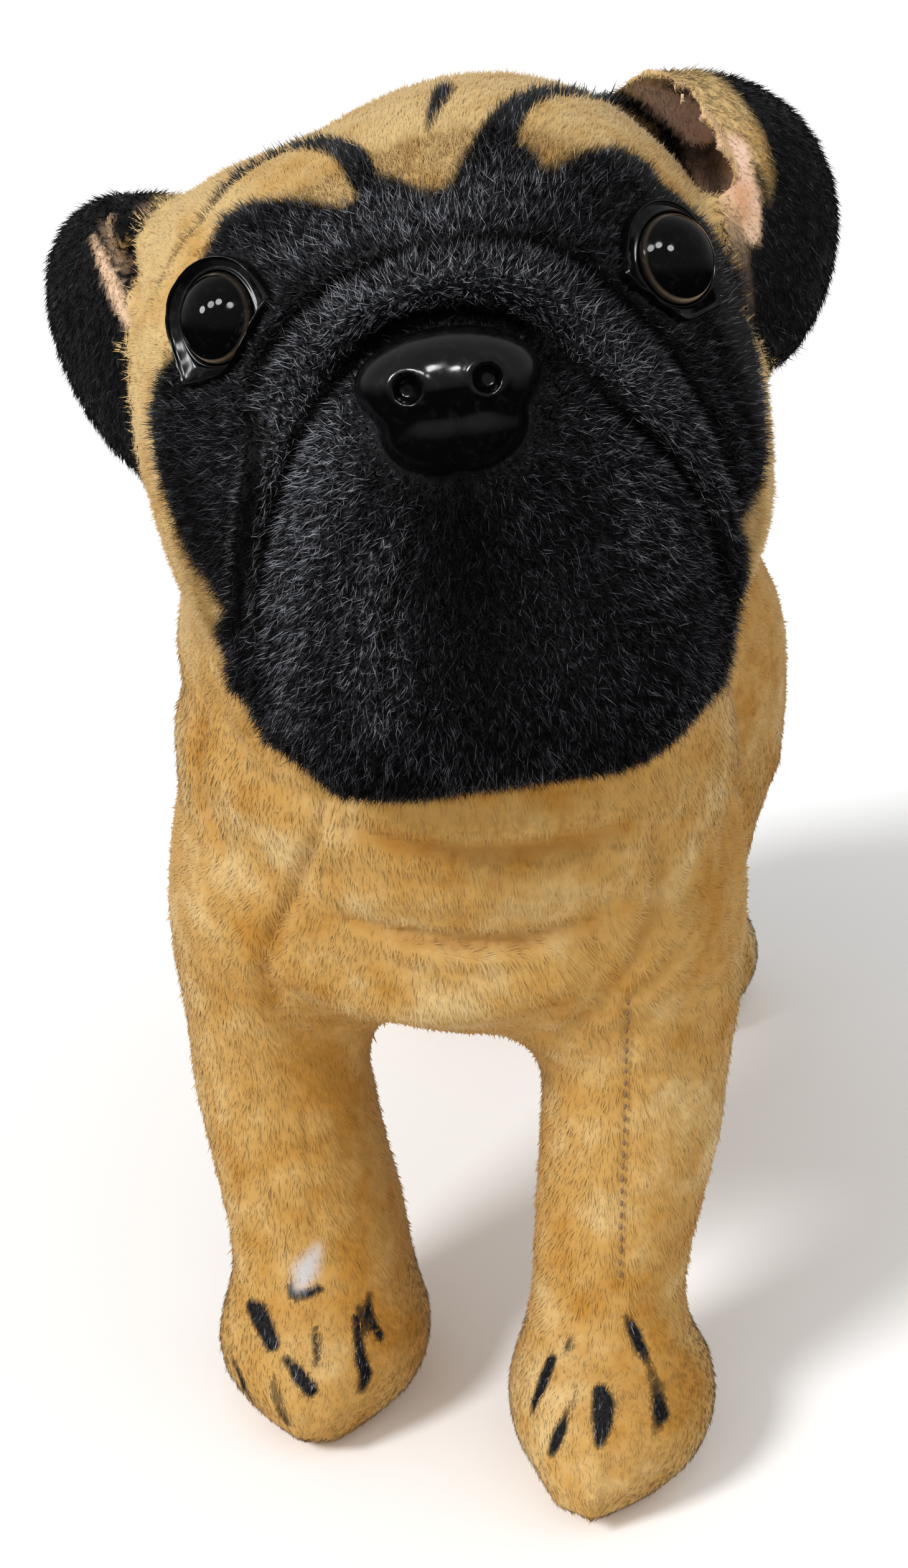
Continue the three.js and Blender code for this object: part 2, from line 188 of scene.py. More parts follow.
@dataclass(frozen=True)
class Viewpoint:
    """The place from which the photograph was taken.

    Angles are in degrees, lengths in metres and the focal length in pixels of the photograph.
    """

    azimuth: float = 10.0
    elevation: float = 25.0
    distance: float = 0.5
    target: Triple = (0.0157, -0.1366, 0.196)
    focal: float = 4005.0
    sensor: float = 36.0

    @property
    def back(self) -> Vector:
        """The direction from the target to the camera."""
        a, e = math.radians(self.azimuth), math.radians(self.elevation)
        return Vector((math.sin(a) * math.cos(e), -math.cos(a) * math.cos(e), math.sin(e)))

    @property
    def eye(self) -> Vector:
        """The camera's place."""
        return Vector(self.target) + self.back * self.distance

    def axes(self) -> Points:
        """The camera's right, up and back directions, one a row."""
        right = Vector((0, 0, 1)).cross(self.back).normalized()
        return np.array([right, self.back.cross(right), self.back])

    def place_camera(self) -> None:
        """Makes the scene's camera."""
        data = bpy.data.cameras.new("camera")
        data.sensor_width = self.sensor
        data.lens = self.focal * self.sensor / FRAME_HEIGHT
        data.clip_start, data.clip_end = 0.01, 50
        camera = linked("camera", data)
        camera.location = self.eye
        camera.rotation_euler = self.back.to_track_quat("Z", "Y").to_euler()
        bpy.context.scene.camera = camera

    def ray(self, x: float, y: float) -> Vector:
        """The unit vector towards a pixel of the photograph, counted from its left and top."""
        across, down = x - FRAME_WIDTH / 2, y - FRAME_HEIGHT / 2
        return Vector(np.array([across, -down, -self.focal]) @ self.axes()).normalized()


@dataclass(frozen=True)
class HeadPose:
    """The head's own frame, with the face towards -Y and the nose at the origin's height, in degrees."""

    centre: Triple = (0.0042, -0.0796, 0.2605)
    turn: float = 9.5
    lift: float = 15.0
    tilt: float = 8.0

    def matrix(self) -> Matrix:
        """From the head's frame to the toy's."""
        turn = Matrix.Rotation(math.radians(self.turn), 4, "Z")
        lift = Matrix.Rotation(-math.radians(self.lift), 4, "X")
        tilt = Matrix.Rotation(-math.radians(self.tilt), 4, "Y")
        return Matrix.Translation(self.centre) @ turn @ lift @ tilt

    def inward(self, points: Points) -> Points:
        """Points of the toy in the head's frame."""
        m = np.array(self.matrix())
        return (points - m[:3, 3]) @ m[:3, :3]

    def outward(self, points: Points) -> Points:
        """Points of the head's frame in the toy's."""
        m = np.array(self.matrix())
        return points @ m[:3, :3].T + m[:3, 3]

    def chart(self, points: Points) -> Points:
        """Unrolls the head's surface round the direction of its face.

        Args:
            points: Points of the toy.

        Returns:
            Two numbers a point, in degrees from the middle of the face.
        """
        p = self.inward(points) - np.array([0.0, 10.0, -5.0]) * MM
        theta = np.degrees(np.arctan2(np.hypot(p[:, 0], p[:, 2]), -p[:, 1]))
        phi = np.arctan2(p[:, 2], p[:, 0])
        return np.stack([theta * np.cos(phi), theta * np.sin(phi)], 1)


# The sewn skin


@dataclass
class Surface:
    """A mesh held as arrays, with a search tree and the name of the CAD node that each point stands for."""

    co: Points
    quads: Points
    edges: Points
    owner: Points
    normal: Points
    tree: BVHTree | None = None

    def around(self, values: Points) -> Points:
        """The mean of the neighbouring points' values."""
        a, b = self.edges.T
        count = len(self.co)
        total = np.bincount(a, values[b], count) + np.bincount(b, values[a], count)
        return total / np.bincount(self.edges.ravel(), minlength=count)

    def spread(self, values: Points, rounds: int) -> Points:
        """Averages values over neighbouring points."""
        for _ in range(rounds):
            values = (values + self.around(values)) / 2
        return values

    def relaxed(self, share: Points | float, rounds: int, back: float = 0.0) -> None:
        """Smooths the points, then pushes them back so that the form keeps its size.

        Args:
            share: How strongly each point takes part, from 0 to 1.
            rounds: How many times.
            back: The step back after each step, 0 for plain smoothing.
        """
        weight = np.broadcast_to(np.asarray(share, float).reshape(-1, 1), (len(self.co), 1))
        for _ in range(rounds):
            for step in filter(None, (0.5, -back)):
                mean = np.stack([self.around(self.co[:, k]) for k in range(3)], axis=1)
                self.co = self.co + step * weight * (mean - self.co)

    def face_cross(self, quads: Points) -> Points:
        """For each of some faces a vector along its normal, twice as long as its area."""
        corner = self.co[quads]
        return np.cross(corner[:, 2] - corner[:, 0], corner[:, 3] - corner[:, 1])

    def refresh(self) -> None:
        """Works out normals and the search tree again after points have moved."""
        across = self.face_cross(self.quads)
        total = np.zeros_like(self.co)
        for k in range(4):
            for axis in range(3):
                total[:, axis] += np.bincount(self.quads[:, k], across[:, axis], len(self.co))
        self.normal = unit(total)
        self.tree = BVHTree.FromPolygons(self.co.tolist(), self.quads.tolist())


@dataclass(frozen=True)
class Line:
    """A line on the toy, given by pixels of the photograph in which it is seen.

    Each point is x, y, width and strength: the width in pixels, the strength from 0 to 1. A width or
    strength that is left out is that of the point before. The depth is in metres, and below 0 for a ridge.
    The shade is how much painted shade darkens the line's groove, from 0 to 1.
    """

    points: tuple[tuple[float, ...], ...]
    depth: float = 0.0
    lips: float = 0.3
    shade: float = 0.0

    def on(self, surface: Surface, view: Viewpoint) -> "Track":
        """Lays the line on a surface.

        Args:
            surface: The skin.
            view: Where the photograph was taken from.

        Returns:
            The line in space.
        """
        rows = []
        last = (0.0, 1.0)
        for x, y, *given in self.points:
            last = (*given, *last[len(given):])
            hit, _, _, far = surface.tree.ray_cast(view.eye, view.ray(x, y))
            if hit is not None:
                rows.append((*hit, last[0] / 2 * far / view.focal, last[1]))
        return Track(np.array(rows), self.depth, self.lips, self.shade)


@dataclass(frozen=True)
class Track:
    """A line in space: x, y, z, half width and strength of each point, in metres."""

    rows: Points
    depth: float = 0.0
    lips: float = 0.0
    shade: float = 0.0
    chunk: int = 20000

    def dense(self, pitch: float = 0.7 * MM) -> Points:
        """The line's points at an even small pitch."""
        rows = self.rows
        length = np.r_[0, np.cumsum(np.linalg.norm(np.diff(rows[:, :3], axis=0), axis=1))]
        at = np.linspace(0, length[-1], max(2, int(length[-1] / pitch)))
        return np.stack([np.interp(at, length, rows[:, k]) for k in range(rows.shape[1])], 1)

    def gap(self, points: Points, reach: float) -> tuple[Points, Points, Points]:
        """How far points lie from the line.

        Args:
            points: The points.
            reach: Points further off than this are left out.

        Returns:
            The indices of the near points, their distances, and the line's rows that they are nearest to.
        """
        rows = self.dense()
        low, high = rows[:, :3].min(0) - reach, rows[:, :3].max(0) + reach
        near = np.nonzero(((points > low) & (points < high)).all(1))[0]
        distance, nearest = np.zeros(len(near)), np.zeros(len(near), int)
        for start in range(0, len(near), self.chunk):
            part = slice(start, start + self.chunk)
            square = ((points[near[part], None, :] - rows[None, :, :3]) ** 2).sum(2)
            nearest[part] = square.argmin(1)
            distance[part] = np.sqrt(square.min(1))
        kept = distance < reach
        return near[kept], distance[kept], rows[nearest[kept]]

    def paint(self, points: Points, soft: float = 1.0 * MM) -> Points:
        """How much of the line's dye each point has, from 0 to 1."""
        value = np.zeros(len(points))
        near, distance, rows = self.gap(points, float(self.rows[:, 3].max()) + 2 * soft)
        value[near] = rows[:, 4] * ease(rows[:, 3] + soft - distance, 0, 2 * soft)
        return value


class Folds(Enum):
    """The folds, ridges and seams that the photograph shows, as lines in it, with painted shade
    in their grooves.
    """

    INNER_RIGHT = Line(
        ((434, 1150, 22, 0.7), (432, 1100, 26, 1), (430, 1012, 28), (428, 923, 30), (439, 847), (452, 789),
         (475, 727, 32), (505, 665), (546, 601), (590, 550, 32, 0.9), (650, 510, 30, 0.7),
         (720, 494, 30, 0.6), (800, 500, 30, 0.7), (850, 530, 30, 0.9)), depth=5.6 * MM, shade=1.0,
    )
    INNER_LEFT = Line(
        ((850, 530, 30, 0.9), (901, 580, 32, 1), (956, 623, 34), (989, 661), (1040, 703), (1082, 748),
         (1108, 795, 32), (1133, 852), (1149, 905, 30), (1160, 960, 26, 0.8)), depth=5.6 * MM, shade=1.0,
    )
    ROLL_RIGHT = Line(
        ((405, 1060, 30, 0.6), (405, 1000, 36, 1), (406, 923, 38), (416, 847), (427, 770, 42),
         (443, 690, 48), (466, 625, 56), (502, 565, 62), (550, 512, 66), (605, 474, 68), (665, 448, 70),
         (740, 438, 72), (820, 442), (885, 472, 70)), depth=-5.2 * MM, lips=0.0,
    )
    ROLL_LEFT = Line(
        ((885, 472, 70), (940, 520, 68), (990, 575, 64), (1038, 628, 60), (1080, 690, 56), (1112, 750, 50),
         (1138, 815, 44), (1158, 880, 34, 0.7)), depth=-5.2 * MM, lips=0.0,
    )
    OUTER_RIGHT = Line(
        ((381, 1050, 20, 0.6), (381, 1000, 24, 0.8), (383, 923, 26, 1), (390, 847), (401, 758, 28),
         (408, 689), (416, 626, 30), (441, 555), (491, 500), (550, 456), (622, 424, 30, 0.9),
         (706, 400, 30, 0.8), (790, 392, 30, 0.9), (867, 398, 30, 1), (939, 430)), depth=4.8 * MM, shade=1.0,
    )
    OUTER_LEFT = Line(
        ((939, 430, 30), (973, 462), (1015, 500), (1057, 543), (1094, 605), (1124, 665), (1150, 730, 28),
         (1170, 790, 26, 0.9), (1186, 850, 20, 0.6)), depth=4.8 * MM, shade=1.0,
    )
    MUZZLE_SEAM = Line(
        ((688, 800, 10, 0.4), (664, 860, 12, 0.8), (640, 930, 14, 1), (626, 980), (618, 1060),
         (615, 1120, 14, 0.9), (630, 1200, 12, 0.5)), depth=1.6 * MM, shade=0.4,
    )
    LIP_SEAM = Line(
        ((745, 775, 12, 0.7), (765, 830, 12, 1), (800, 880, 12, 0.8), (850, 900, 12, 0.6),
         (876, 900, 12, 0.3)), depth=1.0 * MM, shade=0.3,
    )
    MUZZLE_FOLD = Line(
        ((1010, 760, 20, 0.4), (1040, 830, 26, 0.9), (1050, 900, 28, 1), (1040, 980, 26, 0.8),
         (1020, 1050, 20, 0.4)), depth=1.6 * MM, shade=0.2,
    )
    CHIN_UPPER = Line(
        ((560, 1330, 30, 0.4), (640, 1358, 34, 1), (740, 1370), (830, 1368), (920, 1352, 34, 0.9),
         (1010, 1326, 28, 0.5)), depth=3.6 * MM, shade=0.6,
    )
    CHIN_LOWER = Line(
        ((560, 1478, 20, 0.3), (650, 1502, 26, 1), (740, 1514, 28), (850, 1510, 28, 0.9),
         (950, 1480, 24, 0.5)), depth=4.0 * MM, shade=0.75,
    )
    CHEST_BAND = Line(
        ((520, 1425, 60, 0.6), (620, 1438, 80, 1), (740, 1444, 84), (860, 1440, 80), (990, 1410, 60, 0.6)),
        depth=-2.2 * MM, lips=0.0,
    )
    CHEST_BULGE = Line(
        ((470, 1560, 70, 0.7), (560, 1600, 96, 1), (680, 1612, 100), (800, 1606), (900, 1570, 84, 0.8)),
        depth=-3.4 * MM, lips=0.0,
    )
    JOWL_RIGHT = Line(
        ((392, 1010, 30, 0.3), (392, 1080, 50, 0.8), (400, 1150, 60, 1), (430, 1205), (490, 1240, 50, 0.7),
         (570, 1262, 40, 0.3)), depth=-3.4 * MM, lips=0.0,
    )
    EAR_FOLD = Line(
        ((165, 330, 20, 0.6), (186, 362, 30, 1), (206, 410, 26), (222, 458, 20, 0.8), (230, 500, 14, 0.4)),
        depth=3.0 * MM, shade=0.9,
    )
    EAR_STRIP = Line(
        ((150, 380, 14, 0.6), (180, 450, 26, 1), (204, 505, 24, 0.8)), depth=-0.9 * MM, lips=0.0,
    )
    # Painted shade only, with no groove: the dark pocket inside the left ear.
    EAR_POCKET = Line(
        ((1120, 215, 24, 0.4), (1160, 262, 40, 0.8), (1190, 310, 44, 1), (1196, 345, 30)), shade=1.0,
    )
    CHEST_SEAM = Line(
        ((742, 1320, 12, 0.8), (740, 1380, 12, 1), (740, 1450), (738, 1510, 12, 0.8), (725, 1560, 10, 0.4)),
        depth=1.0 * MM, shade=0.25,
    )
    SIDE_SEAM_RIGHT = Line(
        ((526, 1280, 20, 0.8), (508, 1350, 22, 1), (476, 1430, 24), (438, 1500, 26), (424, 1560, 28),
         (440, 1620, 26, 0.9), (486, 1666, 24, 0.8), (560, 1690, 20, 0.5)), depth=2.4 * MM, shade=0.15,
    )
    SIDE_SEAM_LEFT = Line(
        ((1052, 1330, 24, 0.8), (1060, 1400, 26, 1), (1046, 1480, 28), (1010, 1560, 30), (956, 1620, 28),
         (890, 1664, 22, 0.6)), depth=2.4 * MM, shade=0.2,
    )
    LEG_SEAM_RIGHT = Line(
        ((462, 1660, 12, 0.5), (484, 1780, 12, 0.7), (498, 1880, 12, 0.9), (504, 1960),
         (506, 2005, 12, 0.8)), depth=0.8 * MM, shade=0.15,
    )
    LEG_SEAM_LEFT = Line(
        ((1008, 1590, 14, 0.8), (1006, 1700, 14, 1), (1004, 1800), (1000, 1900), (996, 2000),
         (994, 2080, 14, 0.9)), depth=1.2 * MM, shade=0.3,
    )
    PAW_SEAM_RIGHT = Line(
        ((511, 2060, 10, 0.5), (507, 2130, 10, 0.7), (506, 2200, 10, 0.9), (503, 2290, 10, 1)),
        depth=0.9 * MM, shade=0.25,
    )
    PAW_SEAM_LEFT = Line(
        ((994, 2080, 10, 0.6), (1004, 2180), (1000, 2260, 10, 0.8), (988, 2330, 10, 1), (972, 2400),
         (955, 2424, 10, 0.8)), depth=1.0 * MM, shade=0.25,
    )
    ELBOW_LEFT = Line(
        ((1120, 1490, 20, 0.3), (1070, 1550, 28, 0.8), (1015, 1600, 28, 1), (960, 1634, 24, 0.6)),
        depth=1.8 * MM, shade=0.2,
    )
    NECK_LEFT = Line(
        ((1190, 1190, 20, 0.7), (1178, 1260, 26, 1), (1186, 1340, 24, 0.8), (1180, 1420, 20, 0.4)),
        depth=3.4 * MM, shade=0.5,
    )
    NECK_RIGHT = Line(
        ((330, 1130, 20, 0.4), (318, 1210, 30, 1), (330, 1300, 30, 0.8), (360, 1370, 24, 0.4)),
        depth=2.8 * MM, shade=0.4,
    )


class GlintsAndShade(Enum):
    """Where the mask's pile gets painted glints, or with a depth below 0 is darker, as lines in the
    photograph.

    The darker lines are painted shade under the nose and the chin, and darker cheeks.
    """

    # Painted glints along the nose roll's crest and the muzzle's sides.
    ROLL_RIGHT = Line(
        ((404, 1000, 16, 0.5), (405, 923, 18, 0.6), (416, 847, 18, 0.7), (427, 770, 20, 0.8),
         (443, 690, 24, 0.9), (466, 625, 34, 1), (500, 565, 44), (545, 510, 50), (600, 470),
         (665, 440, 50, 0.9), (740, 428, 50, 0.8), (820, 432, 46, 0.7), (890, 465, 44), (950, 515, 40, 0.6),
         (1000, 570, 36, 0.5), (1050, 630, 34, 0.7), (1090, 700, 30), (1120, 770, 26, 0.6),
         (1140, 830, 24, 0.4)), 1.2,
    )
    MUZZLE_RIGHT = Line(
        ((470, 1150, 40, 0.4), (462, 1060, 50, 0.7), (462, 960, 60, 0.9), (468, 880, 70, 1), (485, 800, 74),
         (515, 730, 70, 0.9), (550, 670, 50, 0.6)), 1.2,
    )
    MUZZLE_MIDDLE = Line(((600, 1150, 70, 0.5), (590, 1050, 80), (600, 950), (640, 850, 60, 0.4)), 1.0)
    MUZZLE_LEFT = Line(
        ((980, 700, 40, 0.3), (1020, 770, 50, 0.45), (1050, 850, 50, 0.5), (1060, 940, 40, 0.3)), 1.0,
    )
    CHEEK_RIGHT = Line(
        ((290, 740, 60, 0.6), (310, 800, 80, 0.9), (340, 880, 70, 0.8), (360, 960, 40, 0.5)), -1.0,
    )
    CHEEK_LEFT = Line(((1150, 540, 50, 0.5), (1190, 640, 60, 0.7), (1200, 740, 40, 0.5)), -1.0)
    BROW = Line(
        ((480, 400, 50, 0.4), (560, 370, 70, 0.6), (650, 350, 80, 0.7), (740, 330, 80, 0.6),
         (860, 300, 60, 0.4)), 1.0,
    )
    # Painted shade under the nose and under the chin.
    UNDER_NOSE = Line(
        ((730, 790, 110, 0.9), (740, 880, 120), (760, 980, 130, 0.8), (780, 1080, 130, 0.7),
         (800, 1170, 110, 0.5)), -1.0,
    )
    CHIN = Line(((480, 1230, 60, 0.6), (620, 1262, 70, 0.8), (800, 1262, 80), (1000, 1210, 80, 0.7)), -1.0)


class Linings(Enum):
    """Where the pink lining shows on the front of the ears, as lines in the photograph."""

    RIGHT_STRIP = Line(
        ((148, 382, 8, 0.6), (160, 410, 16, 0.75), (176, 450, 24), (192, 490, 28), (206, 520, 18, 0.6)),
    )
    LEFT_WEDGE = Line(
        ((1015, 130, 26, 0.7), (1070, 165, 50, 0.9), (1130, 205, 70, 1), (1175, 260), (1200, 320, 50),
         (1210, 380, 26, 0.8)),
    )


class EarTans(Enum):
    """Where the outside of the left ear is tan beside its opening, as a line in the photograph."""

    LEFT = Line(
        ((1000, 112, 24, 0.8), (1060, 98, 40, 1), (1115, 116, 56), (1168, 160, 64), (1208, 220, 60),
         (1234, 280, 36, 0.8), (1236, 340, 18, 0.4)),
    )


class EarFronts(Enum):
    """The front edges of the ears: four control points in the head's frame, in millimetres."""

    RIGHT = ((-45, 0, 47), (-62, -12, 54), (-66, -21, 29), (-58, -19, -4))
    LEFT = ((39, 0, 56), (54, -12, 67), (66.5, -21, 36), (62, -19, 1))

    def paint(
        self, head: HeadPose, points: Points, half_width: float, soft: float, strengths: tuple[float, ...]
    ) -> Points:
        """How much dye a band along the edge gives to each point.

        Args:
            head: The head's frame.
            points: Points of the toy.
            half_width: The band's half width in millimetres.
            soft: Half the width of its blur in millimetres.
            strengths: Its strength at even steps from the top to the tip.

        Returns:
            Values from 0 to 1.
        """
        stops = np.array(self.value, float) * MM
        t = np.linspace(0, 1, 40)[:, None]
        near = (1 - t) ** 3 * stops[0] + 3 * t * (1 - t) ** 2 * stops[1]
        curve = near + 3 * t * t * (1 - t) * stops[2] + t**3 * stops[3]
        strength = np.interp(t[:, 0], np.linspace(0, 1, len(strengths)), strengths)
        band = Track(np.column_stack([head.outward(curve), np.full(len(t), half_width * MM), strength]))
        return band.paint(points, soft * MM)


class TintsAndHighlight(Enum):
    """Where the tan is paler, and where the depth is below 0 more amber, as lines in the photograph.

    The pale line on the chest's bulge is a painted highlight on its top.
    """

    TOES_RIGHT = Line(((392, 2170, 70, 0.3), (440, 2215, 90), (500, 2230, 80), (545, 2190, 60, 0.2)), 1.0)
    TOES_LEFT = Line(((880, 2210, 90, 0.3), (915, 2270, 110), (960, 2330), (985, 2380, 80)), 1.0)
    # A painted highlight on the top of the chest's bulge.
    BULGE = Line(
        ((480, 1560, 40, 0.5), (560, 1612, 60, 0.7), (680, 1622, 70, 0.8), (800, 1612, 60, 0.7)), 1.0,
    )
    FOREHEAD = Line(
        ((560, 200, 60, 0.7), (660, 170, 90, 0.9), (760, 170, 60, 0.7), (900, 215, 60, 0.6)), 1.0,
    )
    PAW_RIGHT = Line(((560, 2060, 60, 0.8), (620, 2120, 80, 1), (640, 2200, 70, 0.9)), -1.0)
    PAW_LEFT = Line(((1060, 2140, 60, 0.8), (1110, 2220, 80, 0.9), (1090, 2300, 60, 0.7)), -1.0)
    CHEST = Line(((640, 1385, 40, 0.9), (760, 1400, 44), (880, 1390, 40, 0.7)), -1.0)
    NECK = Line(((340, 1180, 40, 0.5), (400, 1280, 60, 0.8), (470, 1330, 40, 0.6)), -1.0)
    LEG_RIGHT = Line(((520, 1720, 70, 0.4), (560, 1850, 60, 0.5), (590, 1980, 60, 0.6)), -1.0)


class Strokes(Enum):
    """The strokes of dark dye that the photograph shows on the head and the front paws."""

    BROW_RIGHT = Line(
        ((600, 312, 44), (588, 292), (574, 262, 46), (548, 240, 36), (512, 232, 30), (470, 238, 24),
         (425, 258, 22), (382, 284), (345, 322, 20, 0.6), (317, 362, 18, 0.48), (284, 402, 18, 0.44),
         (262, 442, 14), (244, 484, 9, 0.36)),
    )
    BROW_LEFT = Line(
        ((775, 292, 84), (790, 250, 74), (806, 206, 56), (832, 170, 40), (868, 152, 32), (920, 150, 28),
         (975, 157, 26), (1022, 172, 24), (1062, 195, 24, 0.95), (1098, 222, 24, 0.85),
         (1130, 252, 20, 0.7), (1150, 280, 12, 0.5)),
    )
    CROWN = Line(((728, 122, 34), (714, 145, 30), (702, 170, 24, 0.95), (688, 208, 8, 0.8)))
    TOE_RA = Line(((402, 2098, 22, 0.8), (415, 2110, 34, 0.9), (425, 2132, 28, 1), (438, 2160, 22)))
    TOE_RB = Line(((377, 2190, 10), (389, 2218, 14), (402, 2246, 8, 0.9)))
    TOE_RC = Line(((460, 2184, 12, 0.8), (480, 2210, 22, 1), (500, 2234, 20)))
    TOE_RD = Line(((440, 2216, 18, 0.4), (446, 2250, 24, 0.5), (460, 2284, 22, 0.55)))
    TOE_RE = Line(((507, 2138, 8, 0.9), (508, 2164, 10), (510, 2190, 8, 0.8)))
    TOE_RF = Line(
        ((572, 2118, 12, 0.9), (575, 2150, 14), (580, 2184, 18, 1), (588, 2208, 20), (581, 2232, 18, 0.7)),
    )
    TOE_RG = Line(((593, 2082, 12, 0.6), (592, 2105, 16, 0.9), (600, 2128, 12), (610, 2146, 14, 1)))
    TOE_RH = Line(((578, 2102, 10, 0.9), (590, 2122, 26, 0.6), (584, 2140, 20)))
    TOE_RI = Line(((467, 2068, 10), (470, 2080, 14), (492, 2080), (515, 2071, 10, 0.9)))
    TOE_LA = Line(((886, 2186, 18), (876, 2212, 22), (866, 2240, 18), (855, 2266, 12, 0.9)))
    TOE_LB = Line(
        ((926, 2234, 7, 0.5), (915, 2264, 9, 0.6), (902, 2296, 18, 1), (893, 2318, 20),
         (886, 2334, 14, 0.9)),
    )
    TOE_LC = Line(((964, 2236, 22), (970, 2256, 34), (968, 2286, 30), (964, 2318, 16, 0.9)))
    TOE_LD = Line(((1008, 2116, 8), (1020, 2142, 18), (1032, 2172, 20, 0.9), (1044, 2196, 14, 0.5)))
    TOE_LE = Line(
        ((1046, 2204, 20, 0.5), (1056, 2236, 28, 0.6), (1062, 2272, 30, 0.85), (1052, 2302, 16, 0.4)),
    )
    TOE_LF = Line(((917, 2150, 8, 0.5), (914, 2162, 16, 0.8), (908, 2176, 8, 0.4)))


# The moulded parts' places, in the head's frame


class Side(Enum):
    """The toy's own right and left: -1 and 1 along X."""

    RIGHT = -1
    LEFT = 1

    @property
    def word(self) -> str:
        """The side's name in a piece's name."""
        return self.name.lower()


@dataclass(frozen=True)
class EyeSeat:
    """Where an eye sits in the head's frame, and the frame round it, a disc with two corners.

    Lengths are in metres. The corners are in degrees from the inner side of the eye, upwards, and the left
    frame is turned a little further.
    """

    side: Side
    radius: float = 9.6 * MM
    frame_radius: float = 12.0 * MM
    frame_corner: float = 15.5 * MM
    corners: tuple[float, float] = (6.0, -126.0)
    left_turn: float = 15.0

    @property
    def centre(self) -> Points:
        """The middle of the eyeball."""
        return np.array([3 + self.side.value * 42.7, -38.4, 19.5 - 0.5 * self.side.value]) * MM

    def axes(self) -> Points:
        """Across, up and gaze, one a row, in the head's frame."""
        gaze = unit(np.array([self.side.value * 0.66, -1, 0.15]))
        across = unit(np.cross(np.array([0.0, 0.0, 1.0]), -gaze)) * -1
        up = np.cross(across, -gaze)
        return np.array([across, up, gaze])

    def in_plane(self, local: Points) -> Points:
        """Points of the head's frame as across, up and along the gaze from the eye's middle."""
        return (local - self.centre) @ self.axes().T

    def outline(self, angle: Points) -> Points:
        """The frame's radius at an angle round the gaze.

        Args:
            angle: The angles, in radians.

        Returns:
            The radii, in metres.
        """
        wedge = math.acos(self.frame_radius / self.frame_corner)
        reach = np.full(np.shape(angle), self.frame_radius)
        for corner in self.corners:
            at = corner if self.side is Side.RIGHT else 180 - corner + self.left_turn
            turned = angle - math.radians(at)
            away = np.abs(np.arctan2(np.sin(turned), np.cos(turned)))
            reach = np.maximum(reach, self.frame_radius / np.cos(np.maximum(wedge - away, 0)))
        return reach


# Markings


